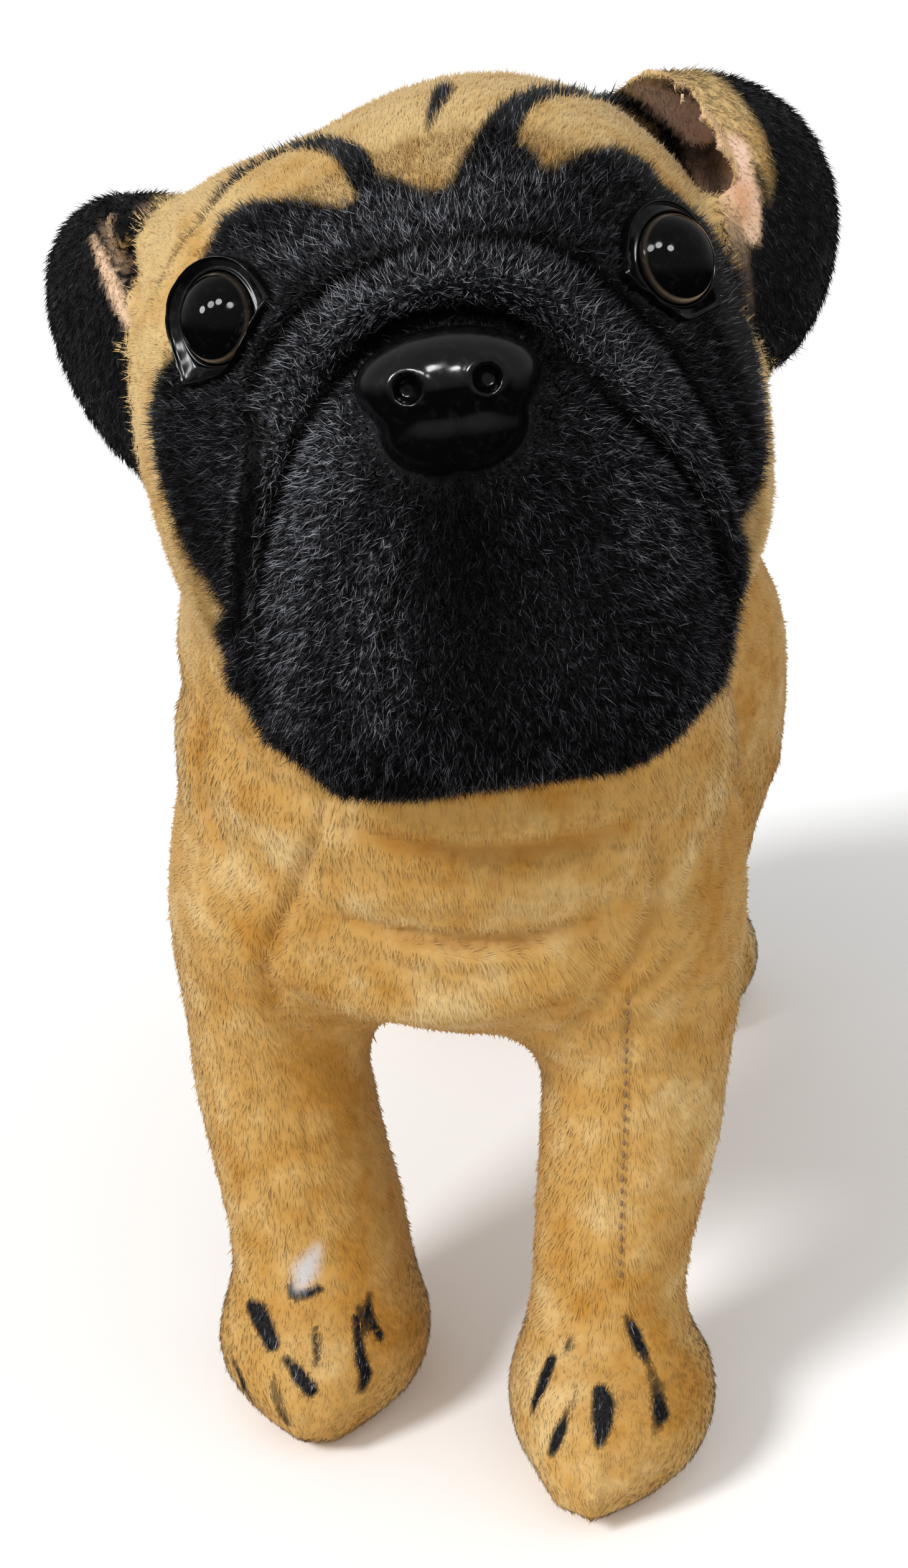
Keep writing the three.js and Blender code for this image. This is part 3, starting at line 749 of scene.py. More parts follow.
@dataclass
class Markings:
    """Every dyed or bare place of the plush and its painted light and shade, as values at any point of the
    toy.

    The mask's edge is given in pixels of the photograph and, under the chin, in millimetres of the head's
    frame. Its hidden side mirrors the first points of the seen one. The mask ends at mask_back behind the
    head's middle, and hind_paws and hind_paw_y say where the hidden paws stand, in metres.
    """

    surface: Surface
    view: Viewpoint
    head: HeadPose
    mask_seen: tuple[tuple[float, float], ...] = (
        (365, 975), (340, 935), (315, 907), (290, 860), (271, 806), (256, 757), (246, 700), (243, 660),
        (249, 626), (262, 592), (283, 568), (300, 530), (312, 470), (323, 424), (340, 386), (361, 348),
        (399, 327), (449, 321), (500, 327), (546, 336), (575, 322), (613, 284), (635, 289), (672, 306),
        (700, 308), (723, 302), (731, 285), (745, 257), (800, 240), (842, 235), (859, 250), (876, 276),
        (905, 265), (930, 248), (956, 240), (989, 240), (1023, 253), (1044, 269), (1057, 290), (1078, 307),
        (1099, 324), (1124, 349), (1145, 375), (1162, 404), (1179, 429), (1200, 455),
    )
    chin: tuple[Triple, ...] = (
        (50, -18, -42), (46, -22, -54), (36, -26, -62), (0, -27, -66), (-34, -26, -62), (-44, -22, -54),
        (-48, -22, -40),
    )
    bare_seen: tuple[tuple[float, ...], ...] = (
        (510, 2006, 10), (502, 2022, 24), (491, 2042, 36), (484, 2058, 32), (480, 2068, 14),
    )
    mirror_count: int = 13
    mirror_scale: float = 1.12
    mirror_gap: float = 4.0
    mask_back: float = 12 * MM
    hind_paws: tuple[float, float] = (-0.0308, 0.0462)
    hind_paw_y: float = 0.1294
    mask_edge: Points = field(default_factory=lambda: np.zeros((0, 2)))
    tracks: dict[type, list[Track]] = field(default_factory=dict)
    bare_track: Track | None = None

    def lay_out(self) -> None:
        """Finds where the mask's edge, the strokes and the bare patch lie on the skin."""
        seen_chart = self.head.chart(Line(self.mask_seen).on(self.surface, self.view).rows[:, :3])
        mirrored = seen_chart[:self.mirror_count][::-1] * np.array([-self.mirror_scale, 1])
        mirrored = mirrored[mirrored[:, 1] < seen_chart[-1, 1] - self.mirror_gap]
        under = self.head.chart(self.head.outward(np.array(self.chin) * MM))
        self.mask_edge = np.concatenate([seen_chart, mirrored, under])
        for kind in (Strokes, Folds, GlintsAndShade, Linings, EarTans, TintsAndHighlight):
            self.tracks[kind] = [line.value.on(self.surface, self.view) for line in kind]
        self.bare_track = Line(self.bare_seen).on(self.surface, self.view)

    def mask(self, spots: Spots, soft: float = 2.2) -> Points:
        """How far each spot is inside the black mask.

        Args:
            spots: Places on the plush.
            soft: Half the width of the edge's blur, in degrees of the head's chart.

        Returns:
            Values from 0 to 1.
        """
        value = np.zeros(len(spots.at))
        chosen = spots.on("head", "face", "neck")
        chosen = chosen[self.head.inward(spots.at[chosen])[:, 1] < self.mask_back]
        chart = self.head.chart(spots.at[chosen])
        inside = np.zeros(len(chart), bool)
        nearest = np.full(len(chart), np.inf)
        for a, b in zip(self.mask_edge, np.roll(self.mask_edge, -1, axis=0)):
            crosses = (a[1] > chart[:, 1]) != (b[1] > chart[:, 1])
            at = (b[0] - a[0]) * (chart[:, 1] - a[1]) / (b[1] - a[1] + 1e-12) + a[0]
            inside ^= crosses & (chart[:, 0] < at)
            along = b - a
            t = np.clip(((chart - a) @ along) / max(along @ along, 1e-12), 0, 1)
            nearest = np.minimum(nearest, np.linalg.norm(chart - a - t[:, None] * along, axis=1))
        signed = np.where(inside, nearest, -nearest)
        value[chosen] = ease(signed, -soft, soft)
        return value

    def hind_toes(self, points: Points) -> Points:
        """Strokes on the hidden hind paws, like those of the front ones.

        Args:
            points: Points of the toy.

        Returns:
            Values from 0 to 1.
        """
        value = np.zeros(len(points))
        for middle in self.hind_paws:
            for x, reach in ((-11, 10), (-1, 13), (9, 9)):
                rows = []
                for t, half_width in ((0, 0.8), (0.5, 1.5), (1, 0.9)):
                    place = (x + 0.3 * x * t, -12 - reach * t, 27 - 12 * t)
                    rows.append((middle, self.hind_paw_y, 0, 0, 1) + np.array([*place, half_width, 0]) * MM)
                value = np.maximum(value, Track(np.array(rows)).paint(points, 2.2 * MM))
        return value

    def ears(self, spots: Spots) -> tuple[Points, Points]:
        """The ears' black outside and their pink lining.

        Args:
            spots: Places on the plush.

        Returns:
            The black and the pink, from 0 to 1.
        """
        points = spots.at
        black, pink = np.zeros((2, len(points)))
        turn = np.array(self.head.matrix())[:3, :3]
        right, left = (spots.on(f"ear_{side.word}") for side in Side)
        for side, chosen, lining in ((Side.RIGHT, right, 0.3), (Side.LEFT, left, 1)):
            local, facing = self.head.inward(points[chosen]), spots.out[chosen] @ turn
            inner = -side.value * facing[:, 0] - 0.3 * facing[:, 1] - 0.1 * facing[:, 2]
            pink[chosen] = ease(inner, 0.15, 0.5) * ease(local[:, 2], 4 * MM, 12 * MM) * lining
            black[chosen] = 1 - 0.6 * ease(side.value * local[:, 0], 58 * MM, 48 * MM)
        rim = EarFronts.LEFT.paint(self.head, points[left], 2.2, 0.8, (0, 0, 0.4, 0.9, 0.2, 0))
        tan = EarFronts.LEFT.paint(self.head, points[left], 6.5, 1.5, (1, 1, 0.95, 0.7, 0.3, 0))
        fleck = EarFronts.LEFT.paint(self.head, points[left], 13, 4, (0.5, 0.4, 0.32, 0.26, 0.12, 0))
        pink[left] = np.maximum(pink[left] * (1 - 0.8 * tan), rim)
        black[left] *= (1 - tan) * (1 - fleck)
        fleck = EarFronts.RIGHT.paint(self.head, points[right], 16, 5, (0.2, 0.3, 0.32, 0.3, 0.2, 0.1))
        black[right] *= 1 - fleck
        shown = ease((spots.out * unit(np.array(self.view.eye) - points)).sum(1), -0.2, 0.1)
        for track in self.tracks[EarTans]:
            tan = track.paint(points, 3 * MM) * shown
            black, pink = black * (1 - 0.85 * tan), pink * (1 - tan)
        for track in self.tracks[Linings]:
            pink = np.maximum(pink, track.paint(points, 0.9 * MM) * shown)
        return black * (1 - pink), pink

    def at(self, spots: Spots) -> dict[str, Points]:
        """All the markings at some spots.

        Args:
            spots: Places on the plush.

        Returns:
            Values from 0 to 1 named dark, pink and bare; deep, the painted shade in the folds;
            glint, painted glints on the mask above 0 and painted shade below; and tint,
            more amber below 0 and paler above, with a painted highlight on the chest's bulge.
        """
        points = spots.at
        dark = self.mask(spots)
        for track in self.tracks[Strokes]:
            dark = np.maximum(dark, track.paint(points, 1.5 * MM))
        dark = np.maximum(dark, self.hind_toes(points))
        black, pink = self.ears(spots)
        deep, glint, tint = np.zeros((3, len(points)))
        # Painted shade along the folds' grooves.
        for track in self.tracks[Folds]:
            near, distance, rows = track.gap(points, 6 * MM)
            amount = rows[:, 4] * bell(distance, np.maximum(rows[:, 3], 1 * MM)) * track.shade
            deep[near] = np.maximum(deep[near], amount)
        # Painted glints on the mask's crests, and painted shade where the depth is below 0.
        for track in self.tracks[GlintsAndShade]:
            glint += track.depth * track.paint(points, 8 * MM)
        # Paler and more amber patches, and the painted highlight on the chest's bulge.
        for track in self.tracks[TintsAndHighlight]:
            tint += track.depth * track.paint(points, 6 * MM)
        # Paler towards the top of the head.
        tint += 1.4 * ease(points[:, 2], 185 * MM, 240 * MM) * ease(points[:, 1], 60 * MM, 20 * MM)
        # The ears' black pile gets fewer bright tips.
        glint -= 0.5 * on_nodes(spots.owner, "ear")
        return {
            "dark": np.maximum(dark, black),
            "pink": pink,
            "bare": self.bare_track.paint(points, 2.2 * MM),
            "deep": deep,
            "glint": np.clip(glint, -1, 1.2),
            "tint": np.clip(tint, -1, 1.5),
        }


@dataclass
class PlushSkin:
    """The sewn skin under the pile, one closed mesh in place of the toy's soft nodes. Lengths in metres."""

    voxel: float = 1.8 * MM
    growth: float = 0.5 * MM
    coat_depth: float = 1.0 * MM
    sole_depth: float = 0.35 * MM
    special_depth: dict[str, float] = field(
        default_factory=lambda: {"face": 2.2 * MM, "head": 1.6 * MM, "ear_": 0.6 * MM}
    )
    ear_corners: tuple[tuple[float, ...], ...] = ((61.0, -15.0, 26.5, 5.5), (61.5, -13.0, 20.0, 5.5))

    def merged(self, nodes: dict[str, Object], head: HeadPose) -> Mesh:
        """Grows copies of the soft nodes until they meet, and wraps them in one skin.

        Args:
            nodes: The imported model's nodes.
            head: The head's frame.

        Returns:
            The skin's mesh, all of four-cornered faces.
        """
        gathered = bmesh.new()
        for name in FLESH:
            gathered.from_mesh(nodes[name].data)
        bmesh.ops.remove_doubles(gathered, verts=gathered.verts, dist=0.005 * MM)
        gathered.normal_update()
        for vert in gathered.verts:
            vert.co += vert.normal * self.growth
        for x, y, z, radius in self.ear_corners:
            spot = head.matrix() @ Matrix.Translation((x * MM, y * MM, z * MM))
            bmesh.ops.create_icosphere(gathered, subdivisions=3, radius=radius * MM, matrix=spot)
        return wrapped(gathered, self.voxel)

    def owners(self, nodes: dict[str, Object], points: Points) -> Points:
        """The soft node that each point is nearest to, as an index in FLESH.

        Args:
            nodes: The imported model's nodes.
            points: Points of the toy.

        Returns:
            An index for each point.
        """
        corners, faces, owner = [], [], []
        for index, name in enumerate(FLESH):
            mesh = nodes[name].data
            start = len(corners)
            corners.extend(tuple(v.co) for v in mesh.vertices)
            faces.extend(tuple(start + v for v in p.vertices) for p in mesh.polygons)
            owner.extend([index] * len(mesh.polygons))
        tree = BVHTree.FromPolygons(corners, faces)
        return np.array([owner[tree.find_nearest(p)[2]] for p in points.tolist()])

    def read(self, mesh: Mesh, nodes: dict[str, Object]) -> Surface:
        """Takes the skin's mesh into arrays.

        Args:
            mesh: The mesh.
            nodes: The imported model's nodes.

        Returns:
            The skin as arrays.
        """
        co, edges = taken(mesh.vertices, "co", 3), taken(mesh.edges, "vertices", 2, int)
        quads = taken(mesh.loops, "vertex_index", 4, int)
        return Surface(co, quads, edges, self.owners(nodes, co), np.zeros_like(co))

    def soften_cuts(self, surface: Surface) -> None:
        """Smooths the skin, most of all where two nodes met."""
        a, b = surface.edges.T
        differs = surface.owner[a] != surface.owner[b]
        band = np.zeros(len(surface.co))
        band[a[differs]] = band[b[differs]] = 1
        band[on_nodes(surface.owner, "head", "face", "ear")] *= 0.3
        for _ in range(7):
            wider = band.copy()
            np.maximum.at(wider, a, band[b] * 0.93)
            np.maximum.at(wider, b, band[a] * 0.93)
            band = wider
        surface.relaxed(1.0, 6, 0.52)
        surface.relaxed(band, 26)

    def press_folds(self, surface: Surface, view: Viewpoint) -> None:
        """Presses the folds and seams in, with a low lip along each side.

        Args:
            surface: The skin.
            view: Where the photograph was taken from.
        """
        surface.refresh()
        pressed, raised = np.zeros((2, len(surface.co)))
        for fold in Folds:
            track = fold.value.on(surface, view)
            near, distance, rows = track.gap(surface.co, 14 * MM)
            width = rows[:, 3] * 1.15
            shape = bell(distance, width) - track.lips * bell(distance - 2.1 * width, width)
            amount = track.depth * rows[:, 4] * shape
            pressed[near] = np.maximum(pressed[near], amount)
            raised[near] = np.minimum(raised[near], amount)
        surface.co = surface.co - surface.normal * surface.spread(pressed + raised, 1)[:, None]

    def seat_eyes(self, surface: Surface, head: HeadPose, seats: tuple[EyeSeat, ...]) -> None:
        """Sinks the skin under the eye frames.

        Args:
            surface: The skin.
            head: The head's frame.
            seats: Where the eyes sit.
        """
        local = head.inward(surface.co)
        for seat in seats:
            across, up, along = seat.in_plane(local).T
            inside = seat.outline(np.arctan2(up, across)) - np.hypot(across, up)
            sunk = ease(inside, 0.4 * MM, 2.4 * MM) * np.maximum(along + 2 * MM, 0) * (along < 20 * MM)
            sunk[across**2 + up**2 > (20 * MM) ** 2] = 0
            local -= sunk[:, None] * seat.axes()[2]
        surface.co = head.outward(local)

    def ruffle(self, surface: Surface) -> None:
        """Gives the stuffed trunk and legs their slight unevenness."""
        x, y, z = (surface.co / MM).T
        waves = (
            np.sin(x / 13 + 0.7 * np.sin(z / 17)) * np.sin(y / 19 + 1.3) * np.sin(z / 15 + 0.4)
            + 0.5 * np.sin(x / 6.5 + 2) * np.sin(y / 8.5) * np.sin(z / 7.5 + y / 21)
        )
        body = on_nodes(surface.owner, "neck", "torso", "leg").astype(float)
        surface.co = surface.co + surface.normal * (surface.spread(body, 8) * waves * 0.45 * MM)[:, None]

    def build(
        self, nodes: dict[str, Object], view: Viewpoint, head: HeadPose, seats: tuple[EyeSeat, ...]
    ) -> Surface:
        """Makes the skin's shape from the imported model's nodes.

        Args:
            nodes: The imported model's nodes.
            view: Where the photograph was taken from.
            head: The head's frame.
            seats: Where the eyes sit.

        Returns:
            The skin as arrays.
        """
        surface = self.read(self.merged(nodes, head), nodes)
        self.soften_cuts(surface)
        surface.refresh()
        depth = np.array([self.special_depth.get(name[:4], self.coat_depth) for name in FLESH])
        depth = depth[surface.owner]
        depth = surface.spread(depth, 10)
        near_floor = ease(surface.co[:, 2], 1.2 * MM, 5 * MM)
        depth = self.sole_depth + (depth - self.sole_depth) * near_floor
        surface.co = surface.co - surface.normal * (depth + self.growth)[:, None]
        self.press_folds(surface, view)
        surface.refresh()
        self.ruffle(surface)
        surface.relaxed(1.0, 1)
        self.seat_eyes(surface, head, seats)
        surface.co[:, 2] = np.maximum(surface.co[:, 2], 0.3 * MM)
        surface.refresh()
        return surface

    def show(self, surface: Surface, marks: dict[str, Points], finish: Material) -> None:
        """Makes the skin's piece.

        Args:
            surface: The skin.
            marks: The markings at its points.
            finish: Its material.
        """
        mesh = bpy.data.meshes.new("plush_skin")
        mesh.from_pydata(surface.co.tolist(), [], surface.quads.tolist())
        mesh.shade_smooth()
        for name, values in marks.items():
            set_values(mesh, name, values)
        piece = piece_of(mesh, "plush_skin", finish, "fawn_plush", FLESH)


# The pile


@dataclass(frozen=True)
class Cut:
    """How the pile is cut in one region.

    The density is in tufts a square millimetre, lengths and widths in metres, lift and scatter in degrees.
    In the black dye the pile is longer and stands up more, by shag, from 0 to 1. The twist is how far a tuft
    turns about its own length, in radians: with little of it every tuft shows a flat back. Thick is a tuft's
    thickness as a share of its width.
    """

    density: float
    length: float
    width: float
    lift: float
    scatter: float
    shag: float = 0.0
    twist: float = 0.25
    thick: float = 0.45


class Pile(Enum):
    """The kinds of pile on the toy."""

    FACE = Cut(4.2, 3.5 * MM, 0.19 * MM, 40, 38, 0.0, 3.0, 1.0)
    HEAD = Cut(2.3, 2.5 * MM, 0.32 * MM, 14, 16, 0.8)
    BODY = Cut(1.2, 2.8 * MM, 0.62 * MM, 6, 11)
    PAW = Cut(1.35, 2.1 * MM, 0.48 * MM, 8, 14, 0.3)
    EAR = Cut(2.2, 2.4 * MM, 0.30 * MM, 24, 34, 0.0, 1.0, 0.8)
    TAIL = Cut(1.6, 2.4 * MM, 0.46 * MM, 9, 14)


class Axes(Enum):
    """The directions along which the pile is divided into pieces."""

    HEAD_UP = 1
    TOY_BACK = 2


@dataclass(frozen=True)
class Fleece:
    """One piece of the pile: its name, its kind, the starts of its soft nodes' names and its record slot.

    The band is the range of places along the axis that it covers, in metres.
    """

    name: str
    pile: Pile
    nodes: tuple[str, ...]
    slot: str = "fawn_plush"
    seed: int = 1
    band: tuple[float, float] = (-9.0, 9.0)
    axis: Axes = Axes.HEAD_UP


FLEECES = (
    Fleece("pile_muzzle", Pile.FACE, ("face",), "black_plush", 11, (-9.0, -0.018)),
    Fleece("pile_nose_roll", Pile.FACE, ("face",), "black_plush", 12, (-0.018, 9.0)),
    Fleece("pile_cheeks", Pile.HEAD, ("head",), "fawn_plush", 13, (-9.0, 0.012)),
    Fleece("pile_crown", Pile.HEAD, ("head",), "fawn_plush", 21, (0.012, 9.0)),
    Fleece("pile_neck", Pile.BODY, ("neck",), seed=14),
    Fleece("pile_chest", Pile.BODY, ("torso",), "fawn_plush", 15, (-9.0, 0.01), Axes.TOY_BACK),
    Fleece("pile_rump", Pile.BODY, ("torso",), "fawn_plush", 22, (0.01, 9.0), Axes.TOY_BACK),
    Fleece("pile_legs_front", Pile.BODY, ("leg_front",), seed=16),
    Fleece("pile_legs_hind", Pile.BODY, ("leg_hind",), seed=17),
    Fleece("pile_paws", Pile.PAW, ("paw",), seed=18),
    Fleece("pile_ears", Pile.EAR, ("ear",), "ear_plush", seed=19),
    Fleece("pile_tail", Pile.TAIL, ("tail",), seed=20),
)


@dataclass
class Coat:
    """The pile as solid tufts over the skin: each is a thin, closed, three-sided spike.

    Lengths are in metres, and the place of the nose, away from which the face's pile lies, in millimetres of
    the head's frame. The patch is the size of a tuft on the unwrap, and most the greatest number of tufts in
    a piece.
    """

    surface: Surface
    markings: Markings
    head: HeadPose
    seats: tuple[EyeSeat, ...]
    blockers: BVHTree
    root_depth: float = 0.25 * MM
    clear: float = 0.5 * MM
    far: float = 20 * MM
    patch: float = 0.0015
    most: int = 49500
    nose: Triple = (1.5, -62.0, -6.0)
    tail_middle: Triple = (0.0097, 0.1194, 0.194)

    def lie(self, spots: Spots) -> Points:
        """The direction in which the pile lies, along the skin.

        Args:
            spots: Places on the plush.

        Returns:
            Unit vectors at right angles to the outward directions.
        """
        flow = np.tile(np.array([0.0, 0.35, -0.94]), (len(spots.at), 1))
        on_head, tail = spots.on("head", "face"), spots.on("tail")
        flow[on_head] = unit(spots.at[on_head] - self.head.outward(np.array([self.nose]) * MM))
        flow[spots.on("ear")] = (0.1, -0.15, -0.98)
        flow[spots.on("paw")] = (0.0, -0.85, -0.5)
        flow[spots.on("torso")] = unit(np.array([0.0, 0.85, -0.5]))
        flow[tail] = np.cross(np.array([1.0, 0.0, 0.0]), spots.at[tail] - self.tail_middle)
        flow = flow - (flow * spots.out).sum(1, keepdims=True) * spots.out
        return unit(flow + 1e-6)

    def unwrap(self, faces: Points) -> Points:
        """Unwraps some faces of the skin by their own shape.

        Args:
            faces: The indices of the faces.

        Returns:
            The places of the faces' corners, four a face.
        """
        corners, compact = np.unique(self.surface.quads[faces], return_inverse=True)
        mesh = bpy.data.meshes.new("part")
        mesh.from_pydata(self.surface.co[corners].tolist(), [], compact.reshape(-1, 4).tolist())
        part = linked("part", mesh)
        bpy.context.view_layer.objects.active = part
        bpy.ops.object.select_all(action="DESELECT")
        part.select_set(True)
        mesh.uv_layers.new(name="OFBake")
        bpy.ops.object.mode_set(mode="EDIT")
        bpy.ops.mesh.select_all(action="SELECT")
        bpy.ops.uv.smart_project(angle_limit=math.radians(70), island_margin=0.004)
        bpy.ops.object.mode_set(mode="OBJECT")
        places = taken(mesh.uv_layers["OFBake"].data, "uv", 8).reshape(-1, 4, 2)
        bpy.data.objects.remove(part)
        bpy.data.meshes.remove(mesh)
        return places

    def roots(self, fleece: Fleece, rng: np.random.Generator) -> tuple[Spots, Points]:
        """Draws the roots of one piece of the pile, evenly by area.

        Args:
            fleece: The piece of the pile.
            rng: The random numbers.

        Returns:
            The roots, and the place of each on that piece's unwrap.
        """
        surface, cut, quads = self.surface, fleece.pile.value, self.surface.quads
        middle = surface.co[quads].mean(1)
        middle = self.head.inward(middle)[:, 2] if fleece.axis is Axes.HEAD_UP else middle[:, 1]
        in_band = (middle >= fleece.band[0]) & (middle < fleece.band[1])
        faces = np.nonzero(on_nodes(surface.owner[quads[:, 0]], *fleece.nodes) & in_band)[0]
        area = 0.5 * np.linalg.norm(surface.face_cross(quads[faces]), axis=1)
        count = min(int(area.sum() * cut.density / MM**2), self.most)
        pick = rng.choice(len(faces), count, p=area / area.sum())
        s, t = rng.random((2, count))
        weight = np.stack([(1 - s) * (1 - t), s * (1 - t), s * t, (1 - s) * t], 1)[:, :, None]
        places = self.unwrap(faces)
        rows = quads[faces[pick]]
        normal = unit((surface.normal[rows] * weight).sum(1))
        spots = Spots((surface.co[rows] * weight).sum(1), normal, surface.owner[rows[:, 0]])
        return spots, (places[pick] * weight).sum(1)

    def from_mouldings(self, points: Points) -> Points:
        """How far roots lie from the nearest eye frame or the nose, in metres, and below 0 under it.

        Args:
            points: Points of the toy.

        Returns:
            The gaps.
        """
        local = self.head.inward(points)
        gap = np.full(len(points), self.far)
        for seat in self.seats:
            across, up, along = seat.in_plane(local).T
            aside = np.hypot(across, up) - seat.outline(np.arctan2(up, across))
            gap = np.where((along > -14 * MM) & (along < 25 * MM), np.minimum(gap, aside), gap)
        front = (local[:, 1] < -40 * MM) & (np.abs(local[:, 0]) < 32 * MM) & (np.abs(local[:, 2]) < 32 * MM)
        for index in np.nonzero(front)[0]:
            place = Vector(points[index])
            near, facing, _, away = self.blockers.find_nearest(place)
            gap[index] = min(gap[index], math.copysign(away, (place - near).dot(facing)))
        return gap

    def build(self, fleece: Fleece, finish: Material) -> Object:
        """Makes one piece of the pile.

        Args:
            fleece: The piece of the pile.
            finish: Its material.

        Returns:
            The object.
        """
        rng = np.random.default_rng(fleece.seed)
        cut = fleece.pile.value
        spots, place = self.roots(fleece, rng)
        gap = np.full(len(place), self.far)
        if fleece.pile in (Pile.FACE, Pile.HEAD):
            gap = self.from_mouldings(spots.at)
        free = gap > self.clear
        spots, place, gap = spots.only(free), place[free], gap[free]
        root, normal, count = spots.at, spots.out, len(gap)
        lie = self.lie(spots)
        swing = np.radians(rng.normal(0, cut.scatter, count))[:, None]
        flat = lie * np.cos(swing) + np.cross(normal, lie) * np.sin(swing)
        marks = self.markings.at(Spots(root + flat * cut.length * 0.55, normal, spots.owner))
        shag = cut.shag * marks["dark"]
        low = ease(root[:, 2], 0, 5 * MM)
        raised = np.clip(rng.normal(cut.lift + 20 * shag, 7, count), 5, 80)
        lift = np.radians(raised * (0.15 + 0.85 * low))[:, None]
        along = flat * np.cos(lift) + normal * np.sin(lift)
        length = cut.length * (1 + 0.5 * shag) * (1 + 0.25 * rng.normal(0, 1, count)).clip(0.45, 1.5)
        length *= (1 - 0.55 * marks["deep"]) * (1 - 0.75 * marks["bare"]) * (0.35 + 0.65 * low)
        length *= (1 - 0.6 * marks["pink"]) * (0.4 + 0.6 * ease(gap, 0, 5 * MM))
        width = cut.width * (1 + 0.2 * rng.normal(0, 1, count)).clip(0.6, 1.5)
        across = unit(np.cross(along, normal + 1e-6))
        third = np.cross(along, across) * cut.thick
        spin = rng.normal(math.pi / 2, cut.twist, count)
        base = root - normal * self.root_depth
        corners = []
        for k in range(3):
            angle = (spin + k * 2 * math.pi / 3)[:, None]
            corners.append(base + (across * np.cos(angle) + third * np.sin(angle)) * width[:, None] * 0.58)
        tip = root + along * length[:, None]
        tip[:, 2] = np.maximum(tip[:, 2], 0.1 * MM)
        co = np.stack([*corners, tip], 1).reshape(-1, 3)
        co[:, 2] = np.maximum(co[:, 2], 0.05 * MM)
        first = (np.arange(count) * 4)[:, None]
        faces = first + np.array([0, 1, 3, 1, 2, 3, 2, 0, 3, 2, 1, 0])
        mesh = bpy.data.meshes.new(fleece.name)
        mesh.vertices.add(count * 4)
        mesh.vertices.foreach_set("co", co.ravel())
        mesh.loops.add(count * 12)
        mesh.loops.foreach_set("vertex_index", faces.ravel())
        mesh.polygons.add(count * 4)
        mesh.polygons.foreach_set("loop_start", np.arange(count * 4) * 3)
        mesh.update(calc_edges=True)
        mesh.shade_smooth()
        if cut.twist < 1:
            mesh.normals_split_custom_set_from_vertices(np.repeat(normal, 4, axis=0).tolist())
        for name, values in {**marks, "chance": rng.random(count)}.items():
            set_values(mesh, name, np.repeat(values, 4))
        set_values(mesh, "along", np.tile(np.array([0.0, 0.0, 0.0, 1.0]), count))
        corner = np.array([[-1, -1], [1, -1], [0, -1], [0, 1]]) * self.patch
        uv = np.clip(place[:, None, :] + corner[faces - first], 0, 1)
        mesh.uv_layers.new(name="OFBake").data.foreach_set("uv", uv.ravel().astype(np.float32))
        return piece_of(mesh, fleece.name, finish, fleece.slot)


# Finishes


class Recipe:
    """Writes a node tree one node at a time."""

    def __init__(self, tree: NodeTree) -> None:
        """Starts on an empty tree."""
        self.tree = tree

    def node(self, kind: str, settings: dict[str, object] | None = None, **sockets: object) -> Node:
        """Adds a node.

        Args:
            kind: The node's type, without ShaderNode.
            settings: Its properties.
            **sockets: Values or links for its inputs, with _ for a blank and n_ before a number.

        Returns:
            The node.
        """
        made = self.tree.nodes.new("ShaderNode" + kind)
        for name, value in (settings or {}).items():
            setattr(made, name, value)
        for name, value in sockets.items():
            key = int(name[2:]) if name.startswith("n_") else name.replace("_", " ")
            self.put(made.inputs[key], value)
        return made

    def put(self, socket: NodeSocket, value: object) -> None:
        """Sets an input, or links it to an output."""
        if isinstance(value, NodeSocket):
            self.tree.links.new(value, socket)
        elif isinstance(value, tuple) and len(value) == 3 and socket.type == "RGBA":
            socket.default_value = (*value, 1.0)
        else:
            socket.default_value = value

    def math(
        self, operation: str, a: object, b: object = 0.0, c: object = 0.5, clamp: bool = False
    ) -> NodeSocket:
        """Adds a Math node and gives its output."""
        settings = {"operation": operation, "use_clamp": clamp}
        return self.node("Math", settings, n_0=a, n_1=b, n_2=c).outputs[0]

    def times(self, a: object, b: object) -> NodeSocket:
        """The product of two values."""
        return self.math("MULTIPLY", a, b)

    def blend(self, factor: object, a: object, b: object, how: str = "MIX") -> NodeSocket:
        """Mixes two colours and gives the result."""
        settings = {"data_type": "RGBA", "blend_type": how, "clamp_factor": True}
        return self.node("Mix", settings, n_0=factor, n_6=a, n_7=b).outputs[2]

    def scaled(self, value: object, low: float, high: float, to_low: float, to_high: float) -> NodeSocket:
        """Maps a range onto another and gives the result."""
        ends = {"From_Min": low, "From_Max": high, "To_Min": to_low, "To_Max": to_high}
        return self.node("MapRange", {"clamp": True}, Value=value, **ends).outputs[0]

    def marked(self, name: str) -> NodeSocket:
        """Reads a named value of the mesh's points."""
        return self.node("Attribute", {"attribute_name": name}).outputs["Fac"]

    def noise(self, place: object, scale: float, detail: float = 3.0, rough: float = 0.55) -> NodeSocket:
        """Adds a noise texture and gives its value."""
        made = self.node("TexNoise", None, Vector=place, Scale=scale, Detail=detail, Roughness=rough)
        return made.outputs[0]


class MaterialRecipe(Recipe):
    """Writes a material of one shader."""

    def __init__(self, name: str) -> None:
        """Starts a material of the given name."""
        self.material = bpy.data.materials.new(name)
        self.material.use_nodes = True
        super().__init__(self.material.node_tree)
        self.tree.nodes.clear()
        self.place = self.node("TexCoord").outputs["Object"]

    def finished(self, bump: tuple[float, float, object] | None = None, **sockets: object) -> Material:
        """Adds the shader and the output, and gives the material.

        Args:
            bump: The strength, depth and height of its bumps.
            **sockets: Values or links for the shader's inputs.

        Returns:
            The material.
        """
        shader = self.node("BsdfPrincipled", None, **sockets)
        if bump:
            made = self.node("Bump", None, Strength=bump[0], Distance=bump[1], Height=bump[2])
            self.put(shader.inputs["Normal"], made.outputs[0])
        self.node("OutputMaterial", None, Surface=shader.outputs[0])
        return self.material


